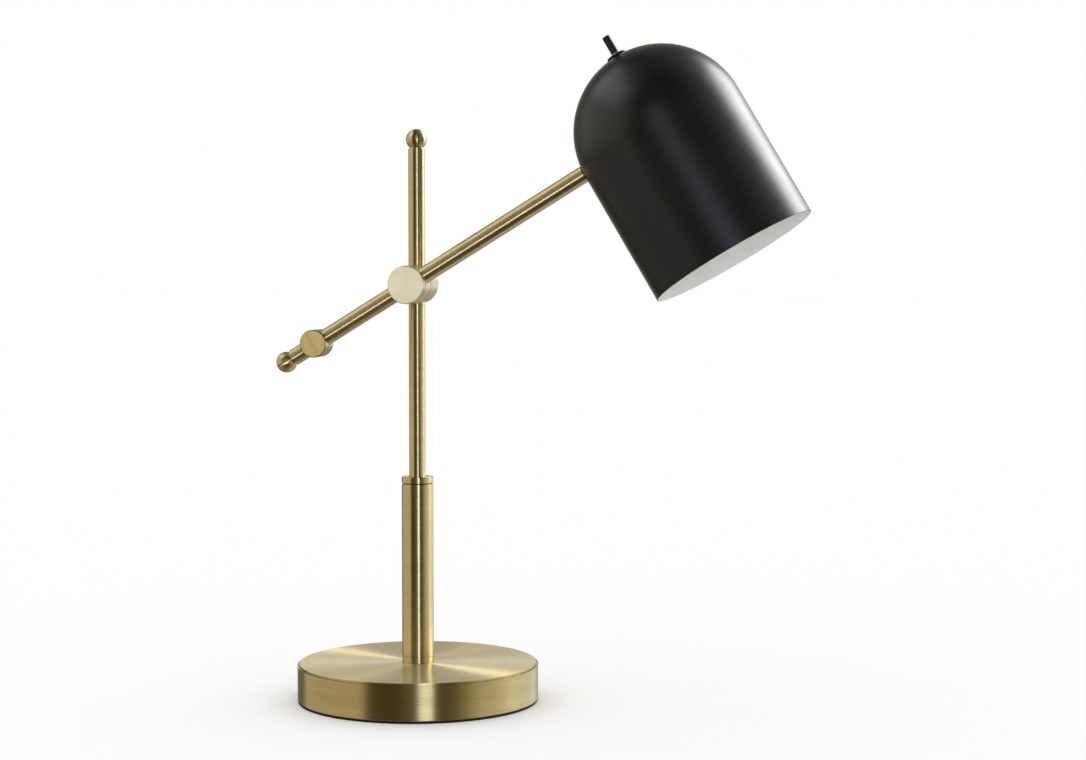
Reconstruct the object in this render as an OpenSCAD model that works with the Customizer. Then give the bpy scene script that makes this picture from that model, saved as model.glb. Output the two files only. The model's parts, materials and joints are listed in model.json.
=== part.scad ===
// Swing arm desk lamp: a thin stem stands in a thick column on a round weighted base,
// and carries a friction clutch. A balanced arm passes through the clutch, with a ball at
// its tail and a domed shade at its head. The shade holds the lamp socket, the bulb and a
// rotary switch. Millimetres, +Z up, origin on the rest face under the middle of the column.

/* [Base] */
// Diameter of the round base
base_d = 190; // [150:1:240]
// Height of the pressed base cover
cover_h = 28.5; // [25:0.5:40]
// Wall of the base cover
cover_t = 1.5; // [1:0.1:2.5]
// Radius of the cover's top edge
cover_edge_r = 1.5; // [0.5:0.1:4]
// Thickness of the soft pad under the base
pad_t = 2; // [1:0.5:4]
// Space between the cast weight and the cover's side wall
weight_room = 9.5; // [6:0.5:25]
// Height left for the wiring, between the bottom plate and the weight
wiring_room = 10; // [9:0.5:12]

/* [Column] */
// Outside diameter of the thick column
column_d = 25; // [22:0.5:32]
// Wall of the column tube
column_wall = 1.5; // [1:0.1:2]
// Height of the column, from the base's top to the top of its collar
column_h = 147; // [110:1:220]
// Height of the turned collar, and of the ring at the column's foot
collar_h = 5; // [3:0.5:10]

/* [Stem and arm tubes] */
// Outside diameter of the stem tube and the arm tube
tube_d = 13; // [12.5:0.1:15]
// Wall of both thin tubes
tube_wall = 1; // [0.7:0.1:1.2]
// Height of the clutch above the table
pivot_z = 328.5; // [250:0.5:420]
// Distance from the clutch up to the middle of the stem's ball
stem_above = 113; // [60:1:200]
// Diameter of the two ball finials
ball_d = 16.5; // [14:0.1:24]

/* [Clutch] */
// Diameter of the two clutch blocks
block_d = 29.8; // [26:0.1:40]
// Metal left in each clutch block, in front of its tube and behind it
block_wall = 2.5; // [2.3:0.1:6]
// Thickness of the clutch knob's disc
knob_t = 1.6; // [1:0.1:1.8]
// Outside diameter of the hollow clutch bolt
bolt_d = 8; // [7.5:0.1:8.4]

/* [Arm] */
// Angle of the arm above level, as the lamp stands
arm_tilt = 31; // [-30:1:60]
// Distance along the arm from the clutch to the shade's axis
arm_reach = 231; // [180:1:320]
// Distance along the arm from the clutch back to the tail weight
tail_weight_at = 90; // [45:1:130]
// Diameter of the tail weight
tail_weight_d = 21.7; // [18:0.1:40]
// Metal left in the tail weight, in front of the arm tube and behind it
tail_wall = 2.3; // [2:0.1:6]
// Distance from the tail weight to the middle of the tail's ball
tail_ball_after = 29.4; // [26:0.1:60]

/* [Shade] */
// Outside diameter of the shade
shade_d = 132; // [124:1:170]
// Length of the shade, from its rim to the top of its dome
shade_len = 174.5; // [168:0.5:220]
// Wall of the shade
shade_t = 1; // [0.6:0.1:1.4]
// Distance from the arm's axis to the shade's rim
arm_to_rim = 113; // [104:0.5:150]

/* [Lamp holder and bulb] */
// Outside diameter of the lamp holder
socket_d = 32; // [31:0.5:40]
// Length of the lamp holder
socket_len = 42; // [38:1:50]
// Diameter of the bulb's glass
bulb_d = 60; // [45:1:62]
// Length of the glass below the lamp holder
bulb_len = 80; // [70:1:84]

/* [Switch] */
// Diameter of the switch knob
switch_knob_d = 6.1; // [5:0.1:12]
// Length of the switch knob
switch_knob_len = 15.4; // [8:0.1:25]
// Diameter of the ring nut under the switch knob
ring_nut_d = 16; // [12:0.5:22]
// Thickness of the ring nut
ring_nut_t = 1.9; // [1:0.1:4]

/* [Fits] */
// Radial running clearance of a turning fit
run_gap = 0.05; // [0.02:0.01:0.1]
// Gap between flat faces that turn on each other
face_gap = 0.05; // [0.02:0.01:0.1]
// Radial clearance of a piece that slides in and is then fixed
slip_gap = 0.05; // [0.02:0.01:0.15]

/* [Hidden] */
$fn = 96;
tiny = 0.01;

// Base
base_top = pad_t + cover_h;
pad_inset = 0.5;
plate_t = 1.5;
plate_top = pad_t + plate_t;
plate_gap = 0.5;
plate_d = base_d - 2 * cover_t - 2 * plate_gap;
weight_d = base_d - 2 * cover_t - 2 * weight_room;
weight_top = base_top - cover_t;
weight_z = plate_top + wiring_room;
weight_t = weight_top - weight_z;
boss_d = 12;
boss_r = weight_d / 2 - 20;
boss_angles = [30, 150, 270];
screw_d = 4;
screw_len = 9;
screw_head_d = 8;
screw_head_gap = 0.1;
lead_d = 2.8;
lead_z = (plate_top + weight_z) / 2;
lead_bend = 6;

// Hollow rod that ties the base and the column, and its nut
rod_d = 10;
rod_bore = 7;
nut_af = 17;
nut_t = 5;
nut_pocket_d = 26;
nut_roof = 5;
nut_pocket = weight_t - nut_roof;
washer_t = 1.5;
washer_d = 24;
rod_nut_top = weight_z + nut_pocket - 2 * washer_t;
rod_bottom = rod_nut_top - nut_t - 1;

// Cord inlet at the back of the base
inlet_bore = 6.6;
inlet_neck_d = 11.6;
inlet_flange_d = 15;
inlet_flange_t = 2.5;
inlet_barb_d = 13.2;
inlet_barb_len = 4;
inlet_sag = base_d / 2 - cover_t - sqrt(pow(base_d / 2 - cover_t, 2) - pow(inlet_barb_d / 2, 2));
inlet_z = pad_t + inlet_flange_d / 2 + 1;

// Terminal block on the base plate
terminal_y = weight_d / 2 - 34;
terminal_w = 20;
terminal_l = 18;
terminal_h = 8;
terminal_screw_d = 3.2;
terminal_pitch = 9;
terminal_hole_d = 3.4;
terminal_floor = 3;
terminal_screw_len = 2.6;
terminal_screw_z = plate_top + terminal_h - 3;

// Column
column_bore = column_d - 2 * column_wall;
column_top = base_top + column_h;
column_z = base_top + collar_h;
spigot_d = column_bore - 2 * slip_gap;
foot_spigot_len = 6;
groove_w = 0.7;
groove_depth = 0.5;
collar_spigot_len = 12;
edge = 0.5;
seam_edge = 0.3;
foot_edge = 0.2;
column_tube_top = column_top - collar_h - groove_w;
bush_len = 12;
bush_z = column_tube_top - collar_spigot_len - bush_len;
spring_t = 1;
spring_gap = 0.3;
foot_flange_h = 8;
foot_flange_gap = 0.4;
foot_top = bush_z - spring_t - face_gap;
foot_z = foot_top - foot_flange_h;
thrust_t = 1;
thrust_gap = 0.2;
seat_top = foot_z - face_gap - thrust_t;
seat_len = 12;
seat_thread_len = 8;
seat_z = seat_top - seat_len;
rod_top = seat_z + seat_thread_len;
stop_r = (tube_d + column_bore) / 4;
stop_pin_d = 2;
stop_pin_rise = 3;
stop_pin_depth = 4;
stop_gap = 0.4;
stop_groove_w = 2.8;
stop_key_w = 2;
foot_bore = 5;
lead_split_z = foot_z + foot_flange_h / 4;

// Stem and clutch
tube_bore = tube_d - 2 * tube_wall;
plug_d = tube_bore - 2 * slip_gap;
stem_top = pivot_z + stem_above;
ball_gap = 0.65;
neck_len = sqrt(pow(ball_d / 2, 2) - pow(plug_d / 2, 2)) + ball_gap;
finial_spigot = 12;
tube_chamfer = 0.5;
stem_bottom = foot_top - foot_flange_h / 2;
friction_t = 0.4;
block_len = tube_d + 2 * block_wall;
arm_offset = block_len + friction_t + 2 * face_gap;
half_block = block_len / 2;
block_edge = 0.8;
block_seam = 0.4;
ring_at = 3.4;
bolt_bore = bolt_d - 3;
bolt_end_gap = 0.9;
bolt_front = arm_offset + half_block - knob_t - bolt_end_gap;
bolt_head_d = 13;
bolt_head_h = 3;
bolt_slot_w = 1.4;
bolt_slot_depth = 1.1;
disc_spring_t = 1;
disc_spring_d = 17;
stud_d = 5;
stud_len = 4;
knob_edge_r = 1.1;
clutch_bend = 4;
arm_up = 46;
arm_down = -74;
window_angle = arm_tilt + (arm_up + arm_down) / 2;
window_half = bolt_bore / 2 - 0.4;
friction_inset = 1.5;

// Arm
shade_r = shade_d / 2;
bore_r = shade_r - shade_t;
arm_washer_t = 0.5;
arm_washer_d = tube_d - 1;
dome_z = shade_len - shade_r - arm_to_rim;
head_seat_x = sqrt(pow(shade_r, 2) - pow(max(0, -arm_washer_d / 2 - dome_z), 2));
arm_end = arm_reach - head_seat_x - arm_washer_t - 2 * face_gap;
tail_weight_len = tube_d + 2 * tail_wall;
tail_ball_at = tail_weight_at + tail_ball_after;
nipple_d = 8;
nipple_bore = 5;
end_plug_len = 14;
grub_d = 4;
grub_hex_af = 2;
grub_hex_depth = 1.2;
grub_end_gap = 0.3;
tail_edge = 0.6;

// Shade and lamp holder, measured from the arm's axis along the shade's own axis
apex_z = dome_z + shade_r;
bracket_w = 14;
bracket_t = 1.5;
bracket_rise = 10;
bracket_gap = 0.3;
bracket_dip = max(0, bracket_rise - dome_z);
bracket_x = sqrt(pow(bore_r, 2) - pow(bracket_dip, 2) - pow(bracket_w / 2, 2)) - bracket_gap;
spacer_d = 14;
spacer_x = sqrt(pow(bore_r, 2) - pow(spacer_d / 2 - min(0, dome_z), 2));
head_spring_t = 0.8;
head_nut_af = 13;
head_nut_t = 5;
nipple_end = bracket_x - bracket_t - head_spring_t - head_nut_t - 1;
switch_room = 36.5;
socket_top = apex_z - switch_room;
socket_wall = 1.8;
socket_throat = 9;
shell_gap = 0.15;
shell_t = 0.5;
shell_len = 22;
shell_d = socket_d - 2 * socket_wall - 2 * shell_gap;
socket_z = socket_top - socket_len;
cap_base_d = 26;
thread_pitch = 3.6;
thread_r = 0.9;
thread_turns = 4;
shell_inset = 3;
cap_base_top = socket_top - 12;
bulb_neck_d = 25;
glass_t = 0.8;
bulb_tip_z = socket_z - bulb_len;
contact_t = 1;
contact_d = 10;
socket_nut_t = 3;
socket_nut_af = 14;
socket_nipple_len = 12;
switch_body_d = 24;
switch_body_len = 20;
switch_lock_t = 1.5;
bushing_d = 8;
bushing_rise = 1;
bushing_depth = 8;
shaft_d = 4;
shaft_len = 12;
switch_corner_z = dome_z + sqrt(pow(bore_r, 2) - pow(switch_body_d / 2, 2));
switch_body_top = switch_corner_z - switch_lock_t - 2 * slip_gap;
knob_z = apex_z + ring_nut_t + bushing_rise + face_gap;

brass = "#B7A365";
brass_pale = "#CFC39A";
black = "#1E1E1E";
steel = "#9A9A98";
white = "#D8D8D4";

// ---- Shared shapes ----

// A disc or tube standing on z = 0.
module ring(outer_d, inner_d, height) {
    difference() {
        cylinder(d = outer_d, h = height);
        translate([0, 0, -tiny]) cylinder(d = inner_d, h = height + 2 * tiny);
    }
}

// A rod standing on z = 0, with a chamfer at each end.
module chamfered_rod(rod_dia, height, low, high) {
    r = rod_dia / 2;
    rotate_extrude()
        polygon([[0, 0], [r - low, 0], [r, low], [r, height - high], [r - high, height], [0, height]]);
}

// A hexagon nut standing on z = 0.
module hex_nut(across_flats, bore_d, height) {
    difference() {
        cylinder(d = across_flats / cos(30), h = height, $fn = 6);
        translate([0, 0, -tiny]) cylinder(d = bore_d, h = height + 2 * tiny);
    }
}

// A quarter of a torus in the XY plane, from (bend, 0) round to (0, bend).
module elbow(bend, dia) {
    rotate_extrude(angle = 90) translate([bend, 0]) circle(d = dia);
}

// A ball on a neck, with a spigot that fits inside a thin tube; the ball is at the origin.
module finial() {
    sphere(d = ball_d);
    translate([0, 0, -neck_len - finial_spigot])
        chamfered_rod(plug_d, neck_len + finial_spigot, edge, edge);
}

// ---- Places ----

// The clutch axis, with local z running forward from the stem's axis.
module on_clutch_axis() {
    translate([0, 0, pivot_z]) rotate([90, 0, 0]) children();
}

// The arm, with local x along it towards the shade and the clutch at the origin.
module on_arm() {
    translate([0, -arm_offset, pivot_z]) rotate([0, -arm_tilt, 0]) children();
}

// The shade, with local z along its axis up to the switch; the arm's axis is at z = 0.
module on_shade() {
    on_arm() translate([arm_reach, 0, 0]) children();
}

// Turns local z to point along the arm, towards the shade.
module along_arm(at) {
    translate([at, 0, 0]) rotate([0, 90, 0]) children();
}

// ---- Base ----

module base_cover() {
    color(brass)
    difference() {
        translate([0, 0, pad_t]) rotate_extrude() difference() {
            union() {
                square([base_d / 2, cover_h - cover_edge_r]);
                square([base_d / 2 - cover_edge_r, cover_h]);
                translate([base_d / 2 - cover_edge_r, cover_h - cover_edge_r]) circle(r = cover_edge_r);
            }
            translate([-tiny, -tiny]) square([base_d / 2 - cover_t + tiny, cover_h - cover_t + tiny]);
            translate([-base_d, -tiny]) square([base_d, base_d]);
        }
        translate([0, 0, base_top - 2 * cover_t]) cylinder(d = rod_d + 2 * slip_gap, h = 3 * cover_t);
        translate([0, base_d / 2 - 3 * cover_t, inlet_z]) rotate([-90, 0, 0])
            cylinder(d = inlet_neck_d + 2 * slip_gap, h = 4 * cover_t);
    }
}

module base_weight() {
    color(steel)
    difference() {
        union() {
            translate([0, 0, weight_z])
                chamfered_rod(weight_d, weight_t - slip_gap, edge, edge);
            for (a = boss_angles) rotate(a) translate([boss_r, 0, plate_top + slip_gap])
                cylinder(d = boss_d, h = weight_z - plate_top + edge);
        }
        translate([0, 0, weight_z - tiny]) cylinder(d = nut_pocket_d, h = nut_pocket + tiny);
        translate([0, 0, weight_z]) cylinder(d = rod_d + 2 * slip_gap, h = weight_t + tiny);
        for (a = boss_angles) rotate(a) translate([boss_r, 0, plate_top])
            cylinder(d = screw_d + 2 * slip_gap, h = screw_len + edge);
    }
}

module base_plate() {
    color(steel)
    difference() {
        translate([0, 0, pad_t]) cylinder(d = plate_d, h = plate_t);
        for (a = boss_angles) rotate(a) translate([boss_r, 0, pad_t - tiny])
            cylinder(
                d1 = screw_head_d + 2 * screw_head_gap,
                d2 = screw_d + 2 * slip_gap,
                h = plate_t + 2 * tiny
            );
    }
}

module plate_screws() {
    color(steel)
    for (a = boss_angles) rotate(a) translate([boss_r, 0, pad_t]) {
        cylinder(d1 = screw_head_d - 2 * screw_head_gap, d2 = screw_d, h = plate_t - screw_head_gap);
        translate([0, 0, edge]) cylinder(d = screw_d, h = screw_len);
    }
}

module base_pad() {
    color(black) cylinder(d = base_d - 2 * pad_inset, h = pad_t - tiny);
}

module cord_inlet() {
    wall_y = base_d / 2;
    color(black)
    translate([0, wall_y, inlet_z]) rotate([90, 0, 0]) difference() {
        union() {
            translate([0, 0, -inlet_flange_t])
                chamfered_rod(inlet_flange_d, inlet_flange_t - slip_gap, edge, tiny);
            translate([0, 0, -edge]) cylinder(d = inlet_neck_d, h = edge + cover_t + inlet_barb_len);
            translate([0, 0, cover_t + inlet_sag + slip_gap])
                chamfered_rod(inlet_barb_d, inlet_barb_len, tiny, 2 * edge);
        }
        translate([0, 0, -inlet_flange_t - tiny])
            cylinder(d = inlet_bore, h = inlet_flange_t + cover_t + inlet_barb_len + 1);
    }
}

module terminal_block() {
    color(white)
    difference() {
        translate([-terminal_w / 2, terminal_y - terminal_l / 2, plate_top])
            cube([terminal_w, terminal_l, terminal_h]);
        for (x = [-1, 1], y = [-1, 1])
            translate([
                x * terminal_pitch / 2,
                terminal_y + y * terminal_pitch / 2,
                plate_top + terminal_floor,
            ])
                cylinder(d = terminal_screw_d + 4 * slip_gap, h = terminal_h);
        for (x = [-1, 1])
            translate([x * terminal_pitch / 2, terminal_y + terminal_l / 2 + tiny, lead_z])
                rotate([90, 0, 0]) cylinder(d = terminal_hole_d, h = terminal_l / 2 - 2);
    }
}

module terminal_screws() {
    color(brass)
    for (x = [-1, 1], y = [-1, 1])
        translate([x * terminal_pitch / 2, terminal_y + y * terminal_pitch / 2, terminal_screw_z])
            cylinder(d = terminal_screw_d, h = terminal_screw_len);
}

module rod() {
    color(steel) translate([0, 0, rod_bottom]) ring(rod_d, rod_bore, rod_top - rod_bottom);
}

module rod_washer() {
    color(steel) translate([0, 0, rod_nut_top + washer_t])
        ring(washer_d, rod_d + 2 * slip_gap, washer_t - slip_gap);
}

module rod_lock_washer() {
    color(steel) translate([0, 0, rod_nut_top])
        ring(nut_af + 1, rod_d + 2 * slip_gap, washer_t - slip_gap);
}

module rod_nut() {
    color(steel) translate([0, 0, rod_nut_top - nut_t])
        hex_nut(nut_af, rod_d + 2 * slip_gap, nut_t - slip_gap);
}

// ---- Column ----

module column_foot() {
    color(brass)
    translate([0, 0, base_top]) difference() {
        union() {
            chamfered_rod(column_d, collar_h - slip_gap, foot_edge, seam_edge);
            chamfered_rod(spigot_d, collar_h + foot_spigot_len, tiny, edge);
        }
        translate([0, 0, -tiny])
            cylinder(d = rod_d + 2 * slip_gap, h = collar_h + foot_spigot_len + 2 * tiny);
    }
}

module column_tube() {
    color(brass) translate([0, 0, column_z]) ring(column_d, column_bore, column_tube_top - column_z);
}

module column_collar() {
    spigot_z = column_tube_top - collar_spigot_len;
    color(brass)
    difference() {
        union() {
            translate([0, 0, column_top - collar_h]) chamfered_rod(column_d, collar_h, seam_edge, edge);
            translate([0, 0, column_tube_top])
                cylinder(d = column_d - 2 * groove_depth, h = groove_w + edge);
            translate([0, 0, spigot_z])
                chamfered_rod(spigot_d, collar_spigot_len + edge, edge, tiny);
        }
        translate([0, 0, spigot_z - tiny])
            cylinder(d = tube_d + 2 * run_gap, h = column_top - spigot_z + 2 * tiny);
    }
}

module swivel_bush() {
    color(white) translate([0, 0, bush_z])
        ring(spigot_d, tube_d + 2 * run_gap, bush_len - slip_gap);
}

module swivel_spring() {
    color(steel) translate([0, 0, bush_z - spring_t])
        ring(spigot_d - 4 * spring_gap, tube_d + 2 * spring_gap, spring_t - slip_gap);
}

module thrust_washer() {
    color(white)
    difference() {
        translate([0, 0, seat_top]) ring(spigot_d - 2 * thrust_gap, rod_bore + 1, thrust_t);
        translate([-stop_r, 0, seat_top - tiny])
            cylinder(d = stop_pin_d + 2 * thrust_gap, h = thrust_t + 2 * tiny);
    }
}

module column_seat() {
    color(brass)
    difference() {
        translate([0, 0, seat_z]) chamfered_rod(spigot_d, seat_len - slip_gap, edge, edge);
        translate([0, 0, seat_z - tiny]) cylinder(d = rod_bore, h = seat_len + 2 * tiny);
        translate([0, 0, seat_z - tiny])
            cylinder(d = rod_d + 2 * slip_gap, h = seat_thread_len + tiny + slip_gap);
        translate([-stop_r, 0, seat_top - stop_pin_depth])
            cylinder(d = stop_pin_d + 2 * slip_gap, h = stop_pin_depth + 1);
    }
}

module stop_pin() {
    color(steel) translate([-stop_r, 0, seat_top - stop_pin_depth + slip_gap])
        cylinder(d = stop_pin_d, h = stop_pin_depth + thrust_t + stop_pin_rise);
}

module base_lead() {
    color(black) {
        lead_start = terminal_y - terminal_l / 2;
        translate([0, lead_start - slip_gap, lead_z]) rotate([90, 0, 0])
            cylinder(d = lead_d, h = lead_start - slip_gap - lead_bend);
        translate([0, lead_bend, lead_z + lead_bend]) rotate([0, 90, 0]) rotate(-90)
            elbow(lead_bend, lead_d);
        translate([0, 0, lead_z + lead_bend])
            cylinder(d = lead_d, h = lead_split_z - face_gap - lead_z - lead_bend);
    }
}

// ---- Stem ----

module stem_tube() {
    tube_top = stem_top - neck_len;
    color(brass)
    difference() {
        translate([0, 0, stem_bottom])
            chamfered_rod(tube_d, tube_top - stem_bottom, tiny, tube_chamfer);
        translate([0, 0, stem_bottom - tiny]) cylinder(d = tube_bore, h = tube_top - stem_bottom + 1);
        on_clutch_axis() translate([0, 0, -tube_d])
            cylinder(d = bolt_d + 2 * slip_gap, h = 2 * tube_d);
    }
}

module stem_foot() {
    flange_d = column_bore - 2 * foot_flange_gap;
    color(brass)
    translate([0, 0, foot_z]) difference() {
        chamfered_rod(flange_d, foot_flange_h, edge, edge);
        translate([0, 0, foot_flange_h / 2])
            cylinder(d = tube_d + 2 * slip_gap, h = foot_flange_h);
        translate([0, 0, -tiny]) cylinder(d = foot_bore, h = foot_flange_h);
        difference() {
            translate([0, 0, -tiny])
                ring(2 * stop_r + stop_groove_w, 2 * stop_r - stop_groove_w, stop_pin_rise + stop_gap);
            translate([0, -stop_key_w / 2, -1]) cube([column_d, stop_key_w, foot_flange_h]);
        }
    }
}

module stem_finial() {
    color(brass) translate([0, 0, stem_top]) finial();
}

module stem_block() {
    color(brass)
    difference() {
        on_clutch_axis() translate([0, 0, -half_block])
            chamfered_rod(block_d, block_len, block_edge, block_seam);
        translate([0, 0, pivot_z - block_d]) cylinder(d = tube_d + 2 * slip_gap, h = 2 * block_d);
        on_clutch_axis() translate([0, 0, -block_len])
            cylinder(d = bolt_d + 2 * slip_gap, h = 2 * block_len);
    }
}

// Hollow bolt: its two side windows let the lead in from the stem and out into the arm.
module clutch_bolt() {
    head_z = -half_block - disc_spring_t;
    dome_r = (pow(bolt_head_d / 2, 2) + pow(bolt_head_h, 2)) / (2 * bolt_head_h);
    bore_top = arm_offset + bolt_bore / 2;
    color(brass)
    on_clutch_axis() difference() {
        union() {
            translate([0, 0, head_z]) cylinder(d = bolt_d, h = bolt_front - head_z);
            intersection() {
                translate([0, 0, head_z - bolt_head_h]) cylinder(d = bolt_head_d, h = bolt_head_h);
                translate([0, 0, head_z - bolt_head_h + dome_r]) sphere(r = dome_r);
            }
        }
        translate([0, 0, -bolt_bore / 2]) cylinder(d = bolt_bore, h = bore_top + bolt_bore / 2);
        translate([0, 0, bolt_front - stud_len]) cylinder(d = stud_d + 2 * run_gap, h = stud_len + 1);
        translate([-window_half, -bolt_d, -window_half])
            cube([2 * window_half, bolt_d, clutch_bend + 2 * window_half]);
        rotate(window_angle) translate([-edge, -bolt_d, arm_offset - clutch_bend - edge])
            cube([bolt_d, 2 * bolt_d, clutch_bend + edge + window_half]);
        translate([-bolt_slot_w / 2, -bolt_head_d, head_z - bolt_head_h - 1])
            cube([bolt_slot_w, 2 * bolt_head_d, bolt_slot_depth + 1]);
    }
}

module disc_spring() {
    color(steel) on_clutch_axis() translate([0, 0, -half_block - disc_spring_t])
        ring(disc_spring_d, bolt_d + 2 * slip_gap, disc_spring_t);
}

module friction_washer() {
    color(black) on_clutch_axis() translate([0, 0, half_block])
        ring(block_d - 2 * friction_inset, bolt_d + 2 * slip_gap, friction_t);
}

module stem_lead() {
    color(black) {
        translate([0, 0, lead_split_z])
            cylinder(d = lead_d, h = pivot_z - clutch_bend - lead_split_z);
        translate([0, -clutch_bend, pivot_z - clutch_bend]) rotate([90, 0, 90])
            elbow(clutch_bend, lead_d);
        on_clutch_axis() translate([0, 0, clutch_bend])
            cylinder(d = lead_d, h = arm_offset - 2 * clutch_bend - face_gap);
    }
}

// ---- Clutch knob ----

module clutch_knob() {
    knob_z = arm_offset + half_block - knob_t;
    color(brass_pale)
    on_clutch_axis() translate([0, 0, knob_z]) union() {
        rotate_extrude() {
            square([block_d / 2, knob_t - knob_edge_r]);
            square([block_d / 2 - knob_edge_r, knob_t]);
            intersection() {
                translate([block_d / 2 - knob_edge_r, knob_t - knob_edge_r]) circle(r = knob_edge_r);
                square([block_d, knob_t]);
            }
        }
        translate([0, 0, -stud_len]) cylinder(d = stud_d, h = stud_len + knob_t / 2);
    }
}

// ---- Arm ----

// Front clutch block, with a thin turned groove behind the knob.
module arm_block() {
    back = arm_offset - half_block;
    block_h = block_len - knob_t - face_gap;
    groove_z = back + block_len - knob_t - ring_at;
    color(brass)
    difference() {
        on_clutch_axis() difference() {
            translate([0, 0, back]) chamfered_rod(block_d, block_h, block_seam, seam_edge);
            translate([0, 0, groove_z]) ring(2 * block_d, block_d - 2 * groove_depth, groove_w);
            translate([0, 0, back - 1]) cylinder(d = bolt_d + 2 * run_gap, h = block_len + 2);
        }
        on_arm() along_arm(-block_d) cylinder(d = tube_d + 2 * slip_gap, h = 2 * block_d);
    }
}

module arm_tube() {
    tail_end = tail_ball_at - neck_len;
    color(brass)
    on_arm() difference() {
        along_arm(-tail_end) chamfered_rod(tube_d, tail_end + arm_end, tube_chamfer, tiny);
        along_arm(-tail_end - 1) cylinder(d = tube_bore, h = tail_end + arm_end + 2);
        translate([0, tube_d, 0]) rotate([90, 0, 0]) cylinder(d = bolt_d + 2 * run_gap, h = 2 * tube_d);
    }
}

module tail_weight() {
    color(brass)
    on_arm() difference() {
        translate([-tail_weight_at, tail_weight_len / 2, 0]) rotate([90, 0, 0])
            chamfered_rod(tail_weight_d, tail_weight_len, tail_edge, tail_edge);
        along_arm(-tail_weight_at - tail_weight_d)
            cylinder(d = tube_d + 2 * slip_gap, h = 2 * tail_weight_d);
        translate([-tail_weight_at, tail_weight_len, 0]) rotate([90, 0, 0])
            cylinder(d = grub_d + 2 * slip_gap, h = tail_weight_len);
    }
}

module tail_grub_screw() {
    grub_len = tail_wall - grub_end_gap;
    color(steel)
    on_arm() translate([-tail_weight_at, tube_d / 2 + slip_gap, 0]) rotate([-90, 0, 0]) difference() {
        cylinder(d = grub_d, h = grub_len);
        translate([0, 0, grub_len - grub_hex_depth])
            cylinder(d = grub_hex_af / cos(30), h = grub_hex_depth + 1, $fn = 6);
    }
}

module tail_finial() {
    color(brass) on_arm() translate([-tail_ball_at, 0, 0]) rotate([0, -90, 0]) finial();
}

module arm_end_plug() {
    color(brass) on_arm() along_arm(arm_end - end_plug_len)
        ring(plug_d, nipple_d + 2 * slip_gap, end_plug_len);
}

module arm_nipple() {
    nipple_start = arm_end - end_plug_len + 1;
    color(steel) on_arm() along_arm(nipple_start)
        ring(nipple_d, nipple_bore, arm_reach - nipple_end - nipple_start);
}

module arm_washer() {
    color(black) on_arm() along_arm(arm_end + slip_gap)
        ring(arm_washer_d, nipple_d + 2 * slip_gap, arm_washer_t - slip_gap);
}

module head_spring() {
    color(steel) on_arm() along_arm(arm_reach - bracket_x + bracket_t + face_gap)
        ring(spacer_d, nipple_d + 2 * slip_gap, head_spring_t - face_gap);
}

module head_nut() {
    color(steel) on_arm() along_arm(arm_reach - bracket_x + bracket_t + head_spring_t + slip_gap)
        hex_nut(head_nut_af, nipple_d + 2 * slip_gap, head_nut_t - slip_gap);
}

module arm_lead() {
    color(black) on_arm() {
        translate([clutch_bend, clutch_bend, 0]) rotate(180) elbow(clutch_bend, lead_d);
        along_arm(clutch_bend) cylinder(d = lead_d, h = arm_reach - nipple_end - clutch_bend);
    }
}

// ---- Shade ----

// Half section of a domed cylinder, from its foot up to its top.
module domed_section(r, foot_z) {
    translate([0, foot_z]) square([r, dome_z - foot_z]);
    translate([0, dome_z]) intersection() {
        circle(r = r);
        square([r, r]);
    }
}

module shade_shell() {
    color(black)
    on_shade() difference() {
        rotate_extrude() difference() {
            domed_section(shade_r, -arm_to_rim);
            domed_section(bore_r, -arm_to_rim - 1);
        }
        translate([0, 0, apex_z - 3 * shade_t]) cylinder(d = bushing_d + 2 * slip_gap, h = 5 * shade_t);
        along_arm(-shade_r - 1) cylinder(d = nipple_d + 2 * run_gap, h = shade_r + 1 - bracket_x);
    }
}

// Flat ring that fills the space between the curved wall and the bracket.
module head_spacer() {
    color(steel) on_shade() along_arm(-spacer_x)
        ring(spacer_d, nipple_d + 2 * run_gap, spacer_x - bracket_x - slip_gap);
}

// Bent strip that hangs the lamp holder from the arm's nipple.
module socket_bracket() {
    knee_x = -socket_d / 2 - 2;
    low_z = -spacer_d / 2;
    tab_z = socket_top + slip_gap;
    color(steel)
    on_shade() difference() {
        union() {
            translate([0, bracket_w / 2, 0]) rotate([90, 0, 0]) linear_extrude(height = bracket_w)
                polygon([
                    [-bracket_x, low_z], [-bracket_x + bracket_t, low_z],
                    [-bracket_x + bracket_t, bracket_rise - bracket_t], [knee_x, tab_z],
                    [0, tab_z], [0, tab_z + bracket_t], [knee_x - 1, tab_z + bracket_t],
                    [-bracket_x, bracket_rise]
                ]);
            translate([0, 0, tab_z]) cylinder(d = bracket_w, h = bracket_t);
        }
        along_arm(-shade_r) cylinder(d = nipple_d + 2 * run_gap, h = shade_r / 2);
        translate([0, 0, tab_z - 1]) cylinder(d = bushing_d + 2 * slip_gap, h = bracket_t + 2);
    }
}

module socket_body() {
    cavity_len = shell_len + socket_throat;
    color(black)
    on_shade() difference() {
        translate([0, 0, socket_z]) chamfered_rod(socket_d, socket_len, edge, 2);
        translate([0, 0, socket_z - tiny]) cylinder(d = socket_d - 2 * socket_wall, h = cavity_len);
        translate([0, 0, socket_top - socket_nipple_len / 2 - slip_gap])
            cylinder(d = bushing_d + 2 * slip_gap, h = socket_nipple_len);
    }
}

module socket_nipple() {
    color(steel) on_shade() translate([0, 0, socket_top - socket_nipple_len / 2])
        ring(bushing_d, nipple_bore, socket_nipple_len);
}

module socket_nut() {
    color(steel) on_shade() translate([0, 0, socket_top + bracket_t + 2 * slip_gap])
        hex_nut(socket_nut_af, bushing_d + 2 * slip_gap, socket_nut_t);
}

module screw_shell() {
    color(brass) on_shade() translate([0, 0, socket_z + shell_inset])
        ring(shell_d, shell_d - 2 * shell_t, shell_len);
}

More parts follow.
